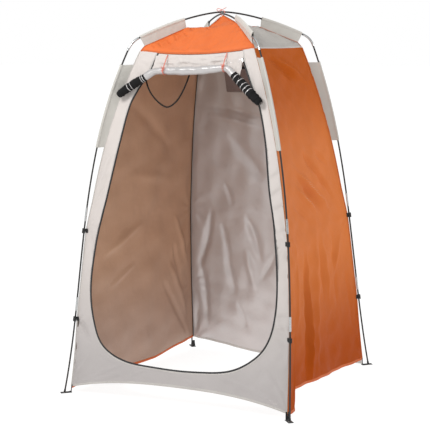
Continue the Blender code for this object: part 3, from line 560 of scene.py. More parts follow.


# Painted shade: the LOW_SHADE and HIGH_SHADE tones, and every hem= and top= tone below, are darker copies of
# the cloth near the ground and under the roof; ORANGE is the wall's lit middle, paler and pinker as painted
# sheen.
GREY, GREY_LOW_SHADE = srgb(212, 204, 199), srgb(186, 180, 178)
ORANGE, ORANGE_LOW_SHADE, ORANGE_HIGH_SHADE = srgb(213, 120, 61), srgb(173, 73, 2), srgb(185, 88, 16)
MATERIALS = {
    "grey": fabric("grey_polyester", GREY, 0.58, hem=GREY_LOW_SHADE, specular_ior_level=0.35),
    "grey_inside": fabric("silver_coating", srgb(206, 199, 197), 0.36, 0.07, top=srgb(186, 176, 170),
                          metallic=0.35),
    "orange": fabric("orange_polyester", ORANGE, 0.60, 0.06, hem=ORANGE_LOW_SHADE, top=ORANGE_HIGH_SHADE,
                     specular_ior_level=0.06),
    "orange_inside": fabric("coated_orange_inside", srgb(201, 161, 132), 0.50, 0.06, hem=srgb(178, 147, 129),
                            top=srgb(194, 151, 121)),
    "roof_orange": fabric("roof_orange_polyester", srgb(226, 113, 52), 0.56, 0.06, specular_ior_level=0.35),
    "roof_grey": fabric("roof_grey_polyester", srgb(184, 179, 173), 0.60),
    "sleeve": fabric("sleeve_polyester", srgb(196, 193, 186), 0.66),
    "roof_sleeve": fabric("roof_sleeve_polyester", srgb(204, 200, 193), 0.66),
    "door": fabric("door_silver_side", srgb(192, 189, 188), 0.33, 0.04, tape=srgb(15, 14, 15), metallic=0.30),
    "pocket": fabric("pocket_mesh", srgb(128, 110, 105), 0.75, 0.2, thread=0.0018, weave=0.0004),
    "grey_tape": stitched("grey_hem_tape", srgb(196, 191, 186), srgb(226, 222, 216), (-0.004, 0.004)),
    "orange_tape": stitched("orange_hem_tape", srgb(206, 96, 40), srgb(224, 158, 92), (-0.004, 0.004)),
    "dark_tape": stitched("dark_seam_tape", srgb(74, 58, 50), srgb(110, 92, 80), (-0.002, 0.002)),
    # painted shade: orange seam tape darkened to brown for the shaded strip beside the front right pole
    "orange_tape_in_painted_shade": stitched("orange_seam_tape_painted_shade", srgb(150, 96, 58), srgb(190, 140, 92), (-0.002, 0.002)),
    "zip": webbing("zip_tape_weave", srgb(46, 44, 46), 0.0009),
    "teeth": grained("zip_coil_nylon", srgb(28, 27, 28), 0.35),
    "pole": grained("fibreglass_pole", srgb(52, 51, 50), 0.50, 0.12, 900.0, 0.00004, (1.0, 0.03, 1.0), "UV",
                    specular_ior_level=0.3),
    "steel": grained("steel_tube", srgb(196, 198, 198), 0.28, 0.05, 700.0, 0.00003, (1.0, 0.05, 1.0), "UV",
                     metallic=1.0),
    "hardware": grained("zinc_hardware", srgb(176, 174, 170), 0.32, 0.06, 500.0, metallic=1.0),
    "plastic": grained("black_nylon_clip", srgb(22, 22, 22), 0.48, 0.15, 420.0),
    "webbing": webbing("black_webbing_weave", srgb(26, 26, 27)),
    "cord": webbing("orange_cord_braid", srgb(236, 128, 108), 0.0012),
    "dark_cord": webbing("dark_cord_braid", srgb(18, 12, 9), 0.0012, 0.0),
    "elastic": webbing("elastic_braid", srgb(120, 120, 120), 0.0010),
}


# --- Making pieces ---

def link(name, data):
    """A new object that holds the data."""
    made = bpy.data.objects.new(name, data)
    bpy.context.scene.collection.objects.link(made)
    return made


def piece(name, points, faces, materials, uv, chosen=None, body="tent", slot=None, replaces=()):
    """A smooth-shaded mesh piece that rides on a body, with its cloth or tube coordinates in metres."""
    mesh = bpy.data.meshes.new(name)
    mesh.from_pydata(np.asarray(points).tolist(), [], faces)
    for made in materials:
        mesh.materials.append(MATERIALS[made])
    if chosen is not None:
        mesh.polygons.foreach_set("material_index", np.asarray(chosen, np.int32))
    corner = np.zeros(len(mesh.loops), np.int32)
    mesh.loops.foreach_get("vertex_index", corner)
    mesh.uv_layers.new(name="metres").data.foreach_set("uv", np.asarray(uv, np.float32)[corner].ravel())
    mesh.shade_smooth()
    mesh.set_sharp_from_angle(angle=math.radians(50))
    made = link(name, mesh)
    if body:
        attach(made, body)
    if replaces:
        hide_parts(*replaces)
    return made


def grid_quads(rows, columns):
    index = np.arange(rows * columns).reshape(rows, columns)
    quads = np.stack([index[:-1, :-1], index[:-1, 1:], index[1:, 1:], index[1:, :-1]], axis=-1)
    return quads.reshape(-1, 4)


def grid_normals(grid):
    return unit(np.cross(np.gradient(grid, axis=1), np.gradient(grid, axis=0)))


def cloth(name, grid, uv, outside, inside, turned=False, thickness=CLOTH, rim_inside=False, **given):
    """A sheet of cloth with two faces and closed edges, which have the outside's material or the inside's."""
    rows, columns, _ = grid.shape
    normals = grid_normals(grid) * (-1 if turned else 1)
    front = (grid + normals * thickness / 2).reshape(-1, 3)
    back = (grid - normals * thickness / 2).reshape(-1, 3)
    quads = grid_quads(rows, columns)
    step = len(front)
    index = np.arange(step).reshape(rows, columns)
    border = np.concatenate([index[0], index[1:, -1], index[-1, -2::-1], index[-2:0:-1, 0]])
    after = np.roll(border, -1)
    rim = np.stack([after, border, border + step, after + step], axis=1)
    outer, inner = quads, quads[:, ::-1] + step
    if turned:
        outer, inner, rim = outer[:, ::-1], inner[:, ::-1], rim[:, ::-1]
    faces = np.concatenate([outer, inner, rim]).tolist()
    chosen = np.repeat([0, 1, int(rim_inside)], [len(quads), len(quads), len(rim)])
    coordinates = np.tile(uv.reshape(-1, 2), (2, 1))
    return piece(name, np.concatenate([front, back]), faces, [outside, inside], coordinates, chosen, **given)


def frames(path, side):
    """Two unit vectors square to the path at each of its points, the second near side."""
    tangent = unit(np.gradient(path, axis=0))
    first = unit(np.cross(tangent, side))
    return first, unit(np.cross(first, tangent))


def circle(radius, sides):
    turns = 2 * math.pi * np.arange(sides) / sides
    return radius * np.column_stack([np.cos(turns), np.sin(turns)])


def slab(width, thickness):
    """The outline of a strap: a flat bar with its edges rounded off."""
    w, t = width / 2, thickness / 2
    r = min(w, t) * 0.7
    return np.array([(-w + r, -t), (w - r, -t), (w, -t + r), (w, t - r), (w - r, t), (-w + r, t), (-w, t - r),
                     (-w, -t + r)])


def sweep(name, path, first, second, outline, material, bore=None, **given):
    """An outline carried along a path, with closed ends, or open-ended with a bore of that outline."""
    outline = np.broadcast_to(outline, (len(path), *np.shape(outline)[-2:]))
    sides = outline.shape[1]

    def skin(shape):
        return path[:, None] + shape[..., :1] * first[:, None] + shape[..., 1:] * second[:, None]

    index = np.arange(len(path) * sides).reshape(len(path), sides)
    wrapped = np.concatenate([index, index[:, :1]], axis=1)
    quads = np.stack([wrapped[:-1, :-1], wrapped[:-1, 1:], wrapped[1:, 1:], wrapped[1:, :-1]], axis=-1)
    quads = quads.reshape(-1, 4)
    around = lengths_along(np.concatenate([outline[0], outline[0][:1]]))[:-1]
    uv = np.stack(np.broadcast_arrays(around[None] - around.max() / 2, lengths_along(path)[:, None]), axis=-1)
    points, faces, uv = skin(outline).reshape(-1, 3), quads.tolist(), uv.reshape(-1, 2)
    if bore is None:
        faces += [index[0, ::-1].tolist(), index[-1].tolist()]
    else:
        hole = np.broadcast_to(bore, outline.shape)
        step = len(points)
        points, uv = np.concatenate([points, skin(hole).reshape(-1, 3)]), np.tile(uv, (2, 1))
        faces += (quads[:, ::-1] + step).tolist()
        for ring, turn in ((wrapped[0], 1), (wrapped[-1], -1)):
            cap = np.stack([ring[1:], ring[:-1], ring[:-1] + step, ring[1:] + step], axis=1)
            faces += cap[:, ::turn].tolist()
    return piece(name, points, faces, [material], uv, **given)


def tube(name, path, radius, material, side=(0.0, 1.0, 0.0), sides=16, bore=None, **given):
    first, second = frames(path, np.array(side, float))
    hole = None if bore is None else circle(bore, sides)
    return sweep(name, path, first, second, circle(radius, sides), material, hole, **given)


def strap(name, path, across, width, thickness, material, **given):
    """A flat strap whose width lies along across."""
    tangent = unit(np.gradient(path, axis=0))
    across = unit(across - tangent * np.sum(across * tangent, axis=-1, keepdims=True))
    return sweep(name, path, across, np.cross(tangent, across), slab(width, thickness), material, **given)


# --- Poles ---

def make_leg(corner):
    side = pole_side(corner)
    lower = leg_point(corner, np.linspace(TIP_HEIGHT, FERRULE_HEIGHT - JOINT_GAP / 2, 24))
    upper = leg_point(corner, np.linspace(FERRULE_HEIGHT + JOINT_GAP / 2, ELBOW_BOTTOM, 44))
    upper = np.concatenate([upper, elbow_point(corner, np.array([0.12, 0.22]))])
    ferrule = leg_point(corner, FERRULE_HEIGHT + np.linspace(-0.5, 0.5, 5) * FERRULE_LENGTH)
    bend = elbow_point(corner, np.linspace(0, 1, 20))
    elbow = np.concatenate([leg_point(corner, np.array([ELBOW_BOTTOM - 0.006])), bend])
    for name, path, radius, bore, material in (
        ("leg_lower", lower, POLE_RADIUS, POLE_BORE, "pole"),
        ("leg_upper", upper, POLE_RADIUS, POLE_BORE, "pole"),
        ("leg_ferrule", ferrule, FERRULE_OUTER, FERRULE_INNER, "steel"),
        ("elbow", elbow, ELBOW_OUTER, ELBOW_INNER, "steel"),
    ):
        tube(f"{name}_tube_{corner}", path, radius, material, side, bore=bore,
             slot="steel" if material == "steel" else "fibreglass", replaces=[f"{name}_{corner}"])
    lower_ferrule = leg_point(corner, LOWER_FERRULE + np.linspace(-0.5, 0.5, 5) * FERRULE_LENGTH)
    tube(f"lower_ferrule_tube_{corner}", lower_ferrule, FERRULE_OUTER, "steel", side, bore=FERRULE_INNER,
         slot="steel")
    tip = leg_point(corner, np.array([0.0012, 0.0022, 0.016, 0.018]))
    first, second = frames(tip, side)
    shape = np.stack([circle(r, 16) for r in (0.0044, 0.0056, 0.0054, 0.0046)])
    sweep(f"foot_tip_{corner}", tip, first, second, shape, "plastic", slot="black_plastic")


def make_roof_pole(name):
    start, end, lower = ROOF_POLES[name]
    radii = np.linspace(ELBOW_TOP, 0.0, 30)
    into_elbow = np.array([0.78, 0.88])
    first = np.concatenate([elbow_point(start, into_elbow), roof_point(start, radii, lower)])
    second = np.concatenate([elbow_point(end, into_elbow), roof_point(end, radii[:-1], lower)])
    tube(f"roof_pole_tube_{name}", np.concatenate([first, second[::-1]]), POLE_RADIUS, "pole",
         pole_side(start), bore=POLE_BORE, slot="fibreglass", replaces=[f"roof_pole_{name}"])


# --- Walls and roof ---

def border_tape(name, grid, row, width, colour, slot, part=slice(None), raised=0.0, turned=False):
    """A folded tape along a cloth's first or last row, a little thicker than the cloth inside it."""
    normal = grid_normals(grid)[row, part] * (-1 if turned else 1)
    inward = unit(grid[1 if row == 0 else -2] - grid[row])[part]
    middle = grid[row, part] + normal * raised + inward * (width / 2 - TAPE_OVERHANG)
    return sweep(name, middle, inward, unit(normal), slab(width, CLOTH + 2 * TAPE_LIFT), colour, slot=slot)


def wall_hollow(across, share):
    """How far a wall hangs in from the straight lines between its seams."""
    return 0.020 * np.sin(math.pi * across) * np.sin(math.pi * share) ** 0.7


def make_wall(wall, columns=120, rows=180):
    orange = wall in ("left", "right")
    across = np.linspace(0, 1, columns)
    if wall == "right":
        across = np.unique(np.concatenate([across, np.linspace(0.07, 0.11, 14)]))
    share = np.linspace(0, 1, rows)[:, None]
    low, high = hem_height(wall, across), eave_height(wall, across)
    height = low + (high - low) * share
    grid = wall_point(wall, np.broadcast_to(across, height.shape), height)
    u = grid[..., 1] if orange else grid[..., 0]
    width = np.linalg.norm(grid[:, -1] - grid[:, 0], axis=1)[:, None]
    from_seam = np.minimum(across, 1 - across) * width
    fade = smooth_step(0.0, 0.045, from_seam) * smooth_step(0.0, 0.05, high - height)
    seed = WALL_SEEDS[wall]
    bulge = (1.5 * folds(u, height, FOLDS[wall]) + tension(wall, u, height)
             + 0.0050 * waves(u, height, 0.42, seed) + 0.0026 * waves(u, height, 0.13, seed + 40)
             + 0.0014 * waves(u, height * 0.3, 0.17, seed + 80) * smooth_step(0.75, 0.35, height))
    grid = grid + grid_normals(grid) * (bulge * fade - wall_hollow(across, share))[..., None]
    colour = "orange" if orange else "grey"
    made = cloth(f"wall_cloth_{wall}", grid, np.stack([u, height], axis=-1), colour, f"{colour}_inside",
                 slot=f"{colour}_fabric", replaces=[f"wall_{wall}"])
    hem = border_tape(f"hem_{wall}", grid, 0, HEM_WIDTH, f"{colour}_tape", f"{colour}_fabric")


def make_front_wall(columns=700, rows=24):
    """The U-shaped front panel, as a band from the seams and hem to the doorway's edge."""
    inner = doorway_edge(columns)
    side = round(columns * 0.36)
    top_right, top_left = EAVE_HEIGHTS["front_right"], EAVE_HEIGHTS["front_left"]
    down = np.linspace(top_right, hem_height("front", 1.0), side)
    up = np.linspace(hem_height("front", 0.0), top_left, side)
    hem_across = np.linspace(1, 0, columns - 2 * side + 2)[1:-1]
    outer = np.concatenate([seam_point("front_right", down),
                            wall_point("front", hem_across, hem_height("front", hem_across)),
                            seam_point("front_left", up)])[:, [0, 2]]
    share = np.linspace(0, 1, rows)[:, None, None]
    flat = outer * (1 - share) + inner * share
    x, height = flat[..., 0], flat[..., 1]
    wide = np.linalg.norm(outer - inner, axis=1)
    share = share[..., 0]
    fade = smooth_step(0.0, 0.022, share * wide) * smooth_step(0.0, 0.012, (1 - share) * wide)
    bulge = (folds(x, height, FOLDS["front"]) + tension("front", x, height)
             + 0.0025 * waves(x, height, 0.30, 21) + 0.0012 * waves(x, height, 0.09, 22))
    grid = front_point(x, height, bulge * fade)
    made = cloth("wall_cloth_front", grid, flat, "grey", "grey_inside", turned=True, slot="grey_fabric",
                 replaces=["wall_front"])
    on_hem = slice(side - 1, columns - side + 1)
    hem = border_tape("hem_front", grid, 0, HEM_WIDTH, "grey_tape", "grey_fabric", on_hem, turned=True)
    edge = border_tape("doorway_binding", grid, -1, DOORWAY_BINDING, "grey_tape", "grey_fabric", turned=True)


def make_corner_seam(corner):
    """The taped seam that stands out towards the pole."""
    low = max(hem_height(wall, 1.0 if WALLS[wall][1] == corner else 0.0) for wall in WALLS
              if corner in WALLS[wall])
    line = seam_point(corner, np.linspace(low, EAVE_HEIGHTS[corner] - 0.002, 60))
    outward = unit(line * (1, 1, 0))
    # the front right seam tape is orange tape darkened to brown: painted shade between the front panel and
    # the pole
    tape = {"front_left": "grey_tape", "front_right": "orange_tape_in_painted_shade"}.get(corner, "orange_tape")
    for name, shift, thickness, material in (("corner", 0.0022, 0.0024, tape),
                                             ("inner", -0.0048, 0.0022, "dark_tape")):
        strap(f"{name}_seam_{corner}", line + outward * shift, outward, SEAM_WIDTH, thickness, material,
              slot="orange_fabric")


def gathers(u, v):
    """Short creases that run into a roof panel from its left ridge, and two long ones further in."""
    short = ((100, 1.2), (130, 0.8), (160, 1.1), (190, 0.7), (220, 1.0), (250, 0.8), (275, 1.1))
    lines = [(12 - s, s, 12 - s + 45 * turn, s + 38, 5.2, -5.775) for s, turn in short]
    return folds(u, v, [*lines, (-130, 165, -155, 235, 8, -8.085), (-30, 115, 5, 160, 8, -7.5075)])


def make_roof_panel(wall, columns=120, rows=110):
    orange = wall in ("front", "back")
    left, right = WALLS[wall]
    share = np.linspace(1.0, 0.02, rows)
    across = np.linspace(0, 1, columns)[:, None]
    start, end = ridge_point(left, share)[:, None], ridge_point(right, share)[:, None]
    grid = start * (1 - across) + end * across
    arch = 4 * across * (1 - across)
    sag = EAVE_SAG[wall] * np.clip((share - 0.5) / 0.5, 0, 1)[:, None, None] * arch
    hang = 0.012 * np.sin(math.pi * np.clip(share, 0, 1))[:, None, None] * arch
    grid[..., 2] -= (sag + hang)[..., 0]
    u, v = np.broadcast_arrays((across[:, 0] - 0.5)[None] * share[:, None] * 0.62, share[:, None] * 0.31)
    seed = ROOF_SEEDS[wall]
    near_ridge = (1 - arch[:, 0])[None] ** 2
    pleats = np.sin(150 * v + 3 * np.sin(40 * v) + seed) * near_ridge * smooth_step(0.02, 0.1, v)
    pleats = pleats * (0.5 + 0.5 * np.sin(37 * v + 2 * seed))
    fade = smooth_step(0.0, 0.10, arch[:, 0])[None] * smooth_step(1.0, 0.93, share)[:, None]
    bulge = (0.0055 * pleats + gathers(u, v) + 0.0045 * waves(u, v, 0.16, seed)
             + 0.0020 * waves(u, v, 0.05, seed + 1))
    grid = grid + grid_normals(grid) * (bulge * fade)[..., None]
    colour = "orange" if orange else "grey"
    made = cloth(f"roof_cloth_{wall}", grid, np.stack([u, v], axis=-1), f"roof_{colour}", f"{colour}_inside",
                 slot=f"{colour}_fabric", replaces=[f"roof_{wall}"])
    hem = border_tape(f"eave_{wall}", grid, 0, EAVE_WIDTH, f"{colour}_tape", f"{colour}_fabric",
                      raised=EAVE_RAISED)


def make_ridge_tape(corner):
    line = ridge_point(corner, np.linspace(1.0, 0.03, 40)) + np.array((0, 0, 0.0012))
    strap(f"ridge_seam_{corner}", line, pole_side(corner), RIDGE_WIDTH, 0.0016, "orange_tape",
          slot="orange_fabric")


def make_sleeve(name, poles, seams, side, slack=0.002, colour="sleeve"):
    """A sleeve: cloth from the seam, round the pole and back, as one long teardrop with some slack."""
    first, second = frames(poles, side)
    first = first * np.sign(np.sum((seams - poles) * first, axis=1, keepdims=True))
    turns = np.radians(np.linspace(40, 320, 15))
    reach = SLEEVE_RADIUS * np.cos(turns) + slack * np.minimum(np.cos(turns), 0)
    ring = poles[:, None] + reach[:, None] * first[:, None]
    ring = ring + (SLEEVE_RADIUS * np.sin(turns))[:, None] * second[:, None]
    out, back = np.linspace(0, 1, 7)[:-1, None], np.linspace(0, 1, 7)[1:, None]
    tail = seams[:, None]
    flap_out = tail + (ring[:, :1] - tail) * out + second[:, None] * 0.0006 * (1 - out)
    flap_back = ring[:, -1:] + (tail - ring[:, -1:]) * back - second[:, None] * 0.0006 * back
    grid = np.concatenate([flap_out, ring, flap_back], axis=1)
    along = lengths_along(poles)
    round_it = lengths_along(grid[len(grid) // 2])
    u, v = np.meshgrid(round_it, along)
    on_flap = np.concatenate([np.sin(math.pi * out[:, 0]), np.zeros(15), np.sin(math.pi * back[:, 0])])
    seed = int(1000 * abs(poles[0, 0])) + int(1000 * abs(poles[0, 1]))
    wave = 0.0012 * waves(v, 0 * v, 0.05, seed) * on_flap[None]
    grid = grid + second[:, None] * wave[..., None]
    made = cloth(f"{name}_cloth", grid, np.stack([u, v], axis=-1), colour, colour, thickness=0.0005,
                 slot="grey_fabric", replaces=[name])


def make_sleeves(corner):
    side = pole_side(corner)
    heights = np.linspace(*WALL_SLEEVES[corner], 40)
    make_sleeve(f"wall_sleeve_{corner}", leg_point(corner, heights), seam_point(corner, heights), side)
    lower = any(corner in ends[:2] and ends[2] for ends in ROOF_POLES.values())
    reach, seam, slack = ROOF_SLEEVES[corner]
    radii, shares = np.linspace(*reach, 30), np.linspace(*seam, 30)
    make_sleeve(f"roof_sleeve_{corner}", roof_point(corner, radii, lower), ridge_point(corner, shares), side,
                slack, "roof_sleeve")


# --- Doorway and door ---

def make_zip():
    """The tape inside the doorway's edge, with a coil of teeth along its free side."""
    edge = doorway_edge(420)
    edge = edge[(edge[:, 1] < 1.718) | (edge[:, 0] < 0)]
    along = np.gradient(edge, axis=0)
    inward = np.column_stack([along[:, 1], -along[:, 0]]) / np.linalg.norm(along, axis=1, keepdims=True)
    inward *= np.sign(np.sum(inward * (np.array((0.02, 0.9)) - edge), axis=1, keepdims=True))
    reaches = (-0.002, 0.002, 0.006, ZIP_WIDTH - 0.002)
    grid = np.stack([front_point(*(edge + inward * reach).T) for reach in reaches])
    uv = np.stack(np.meshgrid(lengths_along(grid[0]), np.arange(4) * 0.004), axis=-1)
    cloth("zip_tape", grid, uv, "zip", "zip", turned=True, thickness=0.0008, slot="zip_tape",
          replaces=["door_zip"])
    line = front_point(*(edge + inward * (ZIP_WIDTH - 0.0022)).T)
    count = int(lengths_along(line)[-1] / TOOTH_PITCH)
    stops = evenly(line, 2 * count)
    tangent = unit(np.gradient(stops, axis=0))
    first = unit(np.cross(tangent, (0.0, 1.0, 0.0)))
    thick = np.where(np.arange(2 * count) % 2, 1.0, 0.72)[:, None, None]
    sweep("zip_coil", stops, first, np.cross(tangent, first), slab(*COIL_SECTION) * thick, "teeth",
          slot="zip_tape")


def door_side(heights, side):
    """x of the door's left or right edge at those heights."""
    full = doorway_edge(500)
    lowest = int(np.argmin(full[:, 1]))
    half = full[:lowest] if side == "right" else full[lowest:]
    order = np.argsort(half[:, 1])
    return np.interp(heights, half[order, 1], half[order, 0])


def wound_place(x):
    """x on the roll where a place across the door's cloth lies: towards both ends the cloth is bunched up."""
    return np.interp(x, (DOORWAY_CURVE[15][0], -0.240, 0.225, 0.310, DOORWAY_CURVE[5][0]),
                     (ROLL[0][0], -0.238, 0.225, 0.276, ROLL[-1][0]))


def make_door(turn_steps=14):
    """The whole door as one sheet: it hangs from the eave and winds up into the roll from its bottom edge."""
    line, radius, back, down = roll_axis()
    (top, bottom), hanging, (outer, core) = DOOR_HEIGHTS, DOOR_HANGING, ROLL_RADII
    wound = top - bottom - hanging
    pitch = math.pi * (outer**2 - core**2) / wound
    turns = np.linspace(0, 2 * math.pi * (outer - core) / pitch, int(turn_steps * (outer - core) / pitch))
    reach = outer - pitch * turns / (2 * math.pi)
    used = (outer**2 - reach**2) * math.pi / pitch
    hung = np.linspace(0, 1, 20)[:-1, None]
    first = len(hung)
    fall = np.concatenate([hanging * hung[:, 0], hanging + used])
    left, right = (door_side(top - fall, side)[:, None] for side in ("left", "right"))
    left[: first + 1] = np.maximum(left[: first + 1], PULL_CLEARANCE)
    ends = np.array((0.0, 0.006, 0.012, 0.020, 0.030, 0.045))
    across = np.concatenate([ends, np.linspace(0.06, 0.94, 54), 1 - ends[::-1]])
    x = left + (right - left) * across
    place = wound_place(x)

    def on_axis(values):
        return np.stack([np.interp(place, line[:, 0], values[:, k]) for k in range(3)], axis=-1)

    centre, to_back, to_down = on_axis(line), on_axis(back), on_axis(down)
    thick = np.interp(place, line[:, 0], radius)
    # At each place across the door, the outermost layer is the first that is wide enough to reach it.
    heights = np.linspace(top, 0.55, 300)
    level = (outer - np.interp(top - heights - hanging, used, outer - reach)) / outer
    most = np.minimum(np.interp(x, door_side(heights, "left")[::-1], level[::-1]),
                      np.interp(-x, -door_side(heights, "right")[::-1], level[::-1]))
    winding = np.concatenate([np.zeros(first), turns])[:, None]
    share_out = np.concatenate([np.ones(first), reach / outer])[:, None] / most
    squeeze = 1 - sum(0.12 * np.exp(-(((place - p) / 0.010) ** 2)) for p in TIE_PLACES.values())
    from_tip = np.minimum(place - ROLL[0][0], ROLL[-1][0] - place)
    squeeze = squeeze * np.sqrt(1 - 0.75 * (1 - np.minimum(from_tip / 0.014, 1)) ** 2)
    ripple = (0.0011 * waves(place, winding * 0.006, 0.07, 61)
              + 0.0008 * waves(place * 0.3, np.sin(winding) * 0.02, 0.02, 62)
              + 0.0009 * np.sin(place * 330) * smooth_step(0.24, 0.27, np.abs(place)))
    far = (thick * squeeze + ripple) * share_out
    across_roll, down_roll = (far * np.cos(winding))[..., None], (far * np.sin(winding))[..., None]
    grid = centre + to_back * across_roll + to_down * down_roll
    eave = front_point(x[0], front_eave(x[0]) - 0.003, -0.0015)
    grid[:first] = eave * (1 - hung[..., None]) + grid[first] * hung[..., None]
    bulge = 0.0045 * np.sin(3.2 * math.pi * hung) ** 2 + 0.0040 * waves(x[:first], hung * 0.30, 0.10, 63)
    bulge = bulge + 0.0030 * waves(x[:first], hung * 0.04, 0.035, 64)
    grid[:first, :, 1] -= bulge * np.sin(math.pi * hung)
    u = np.where(np.arange(len(x))[:, None] < first, np.clip(x, -0.23, 0.22), place)
    uv = np.stack([u, np.broadcast_to(fall[:, None], x.shape)], axis=-1)
    made = cloth("door_cloth", grid, uv, "grey", "door", turned=True, thickness=0.00035, rim_inside=True,
                 body=None, slot="roll_fabric", replaces=["door_flap", "door_roll"])
    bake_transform(made)


def roll_at(x):
    """The roll's centre and radius at x."""
    line, radius, _, _ = roll_axis()
    both = np.array([np.interp(x, line[:, 0], values) for values in (*line.T, radius)])
    return both[:3], both[3]


def cord(name, path, radius, sides, side=(0, 1, 0), **given):
    return tube(name, path, radius, "cord", side, sides, slot="orange_cord", **given)


def make_tie(side):
    """Two thin cords side by side that hang from the eave and carry the roll, with a bow in front of it."""
    x = TIE_PLACES[side]
    centre, radius = roll_at(x)
    eave = front_point(x, front_eave(x) - 0.0045) - (0.012, 0, 0)
    turns = np.radians(np.linspace(128, 334, 22))
    under = centre + (radius + 0.0016) * np.column_stack([0 * turns, np.cos(turns), np.sin(turns)])
    route = np.concatenate([[eave + (0, -0.0045, 0)], under, [eave + (0, 0.0035, 0)]])
    for k, shift in enumerate((-0.0016, 0.0016)):
        path = evenly(smooth_curve(route, 3), 70) + np.array((shift, 0, 0))
        made = cord(f"door_tie_{side}_strand_{k + 1}", path, TIE_RADIUS, 10, (1, 0, 0), body=None,
                    replaces=[f"door_tie_{side}"])
        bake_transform(made)
    knot = centre + np.array((0.001, -radius * 0.75, radius * 0.75))
    reaches = ((-0.010, -0.004, 0.006), (0.011, -0.004, 0.004), (-0.006, -0.006, -0.017),
               (0.008, -0.006, -0.015))
    for k, (dx, dy, dz) in enumerate(reaches):
        loop = k < 2
        route = [(0, 0, 0), (dx * 0.6, dy, dz * 0.4 + 0.004), (dx, dy * 1.3, dz)]
        route += [(dx * 0.7, dy, dz - 0.006), (0, -0.001, -0.001)] if loop else []
        path = evenly(smooth_curve(knot + np.array(route), 8), 30)
        cord(f"door_tie_{side}_{'bow' if loop else 'end'}_{k % 2 + 1}", path, TIE_BOW_RADIUS, 8, body="door")


def make_hanging_cord():
    x, height, inside = np.array(LOOP_ROUTE).T
    route = smooth_curve(front_point(x, height, -inside), 4)
    curve = bpy.data.curves.new("hanging_loop_cord", "CURVE")
    curve.dimensions = "3D"
    curve.bevel_depth, curve.bevel_resolution, curve.use_fill_caps = LOOP_RADIUS, 3, True
    spline = curve.splines.new("POLY")
    spline.points.add(len(route) - 1)
    for stop, point in zip(spline.points, route):
        stop.co = (*point, 1.0)
    spline.use_smooth = True
    curve.materials.append(MATERIALS["dark_cord"])
    made = link("hanging_loop_cord", curve)
    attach(made, "tent")
    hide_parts("hanging_cord")


def make_pocket():
    """A shallow mesh pocket inside the back wall, open at the top."""
    left, right, low, high = POCKET_BOX
    ends = np.linspace(0, POCKET_EDGE, 3)
    columns = np.concatenate([left + ends, np.linspace(left + 0.015, right - 0.015, 36), right - ends[::-1]])
    x, z = np.meshgrid(columns, np.concatenate([low + ends, np.linspace(low + 0.012, high, 18)]))
    sides = np.minimum(np.minimum(x - left, right - x) / POCKET_EDGE, 1)
    stand = 0.004 + POCKET_DEPTH * sides * np.minimum((z - low) / POCKET_EDGE, 1)
    stand = stand * (0.95 + 0.04 * waves(x, z, 0.10, 71)) + 0.003
    start, end = (seam_point(corner, z)[..., 0] for corner in WALLS["back"])
    across = (x - start) / (end - start)
    hem, eave = hem_height("back", across), eave_height("back", across)
    grid = wall_point("back", across, z)
    grid[..., 1] -= stand + wall_hollow(across, (z - hem) / (eave - hem))
    made = cloth("pocket_cloth", grid, np.stack([x, z], axis=-1), "pocket", "pocket", slot="pocket_fabric",
                 replaces=["inner_pocket"], thickness=0.0007)
    rim = border_tape("pocket_binding", grid, -1, POCKET_BINDING, "webbing", "pocket_fabric")


# --- Small parts ---

def make_foot(corner):
    """The webbing that rises from the foot strap to the corner of the walls, and the strap's eyelet."""
    foot = np.array((*CORNERS[corner][0], 0.0))
    outward = np.array((math.copysign(1, foot[0]), math.copysign(1, foot[1]), 0.0)) / math.sqrt(2)
    sideways = np.cross(outward, (0, 0, 1.0))
    seam = seam_point(corner, 0.034)
    route = smooth_curve([foot - outward * 0.026 + (0, 0, 0.0036), foot - outward * 0.034 + (0, 0, 0.0046),
                          foot - outward * 0.036 + (0, 0, 0.011), seam + (0, 0, 0.006)], 8)
    strap(f"corner_webbing_{corner}", route, np.broadcast_to(sideways, route.shape), WEBBING_WIDTH, 0.0018,
          "webbing", slot="black_webbing")
    turns = np.linspace(0, 2 * math.pi, 33)
    hole = foot + 0.0078 * (np.cos(turns)[:, None] * outward + np.sin(turns)[:, None] * sideways)
    tube(f"eyelet_{corner}", hole + (0, 0, 0.0030), 0.0012, "hardware", (0, 0, 1), 10, slot="steel")


def make_clip_tab(corner, level, height):
    """A webbing patch that holds a clip, sewn round the corner of the walls behind it."""
    left = next(wall for wall in WALLS if WALLS[wall][1] == corner)
    right = next(wall for wall in WALLS if WALLS[wall][0] == corner)
    middle = seam_point(corner, height)
    outward = unit(middle * (1, 1, 0))
    ends = [wall_point(wall, abs(end - 0.009), height) for wall, end in ((left, 1), (right, 0))]
    over = middle + outward * 0.0042
    route = smooth_curve([ends[0], ends[0] * 0.2 + over * 0.8, over, ends[1] * 0.2 + over * 0.8, ends[1]], 5)
    strap(f"clip_tab_{corner}_{level}", route + outward * 0.0016, np.broadcast_to((0, 0, 1.0), route.shape),
          TAB_HEIGHT, 0.0012, "webbing", slot="black_webbing")


def bow_loop(start, size):
    """Points round one loop of a bow, from the knot and back to it."""
    turns = np.linspace(0, 2 * math.pi, 14)
    u, v = size * (1 - np.cos(turns)) / 2, 0.28 * size * np.sin(turns) * (1 - np.cos(turns)) / 2
    return start + np.column_stack([-u, 0.15 * u, v])


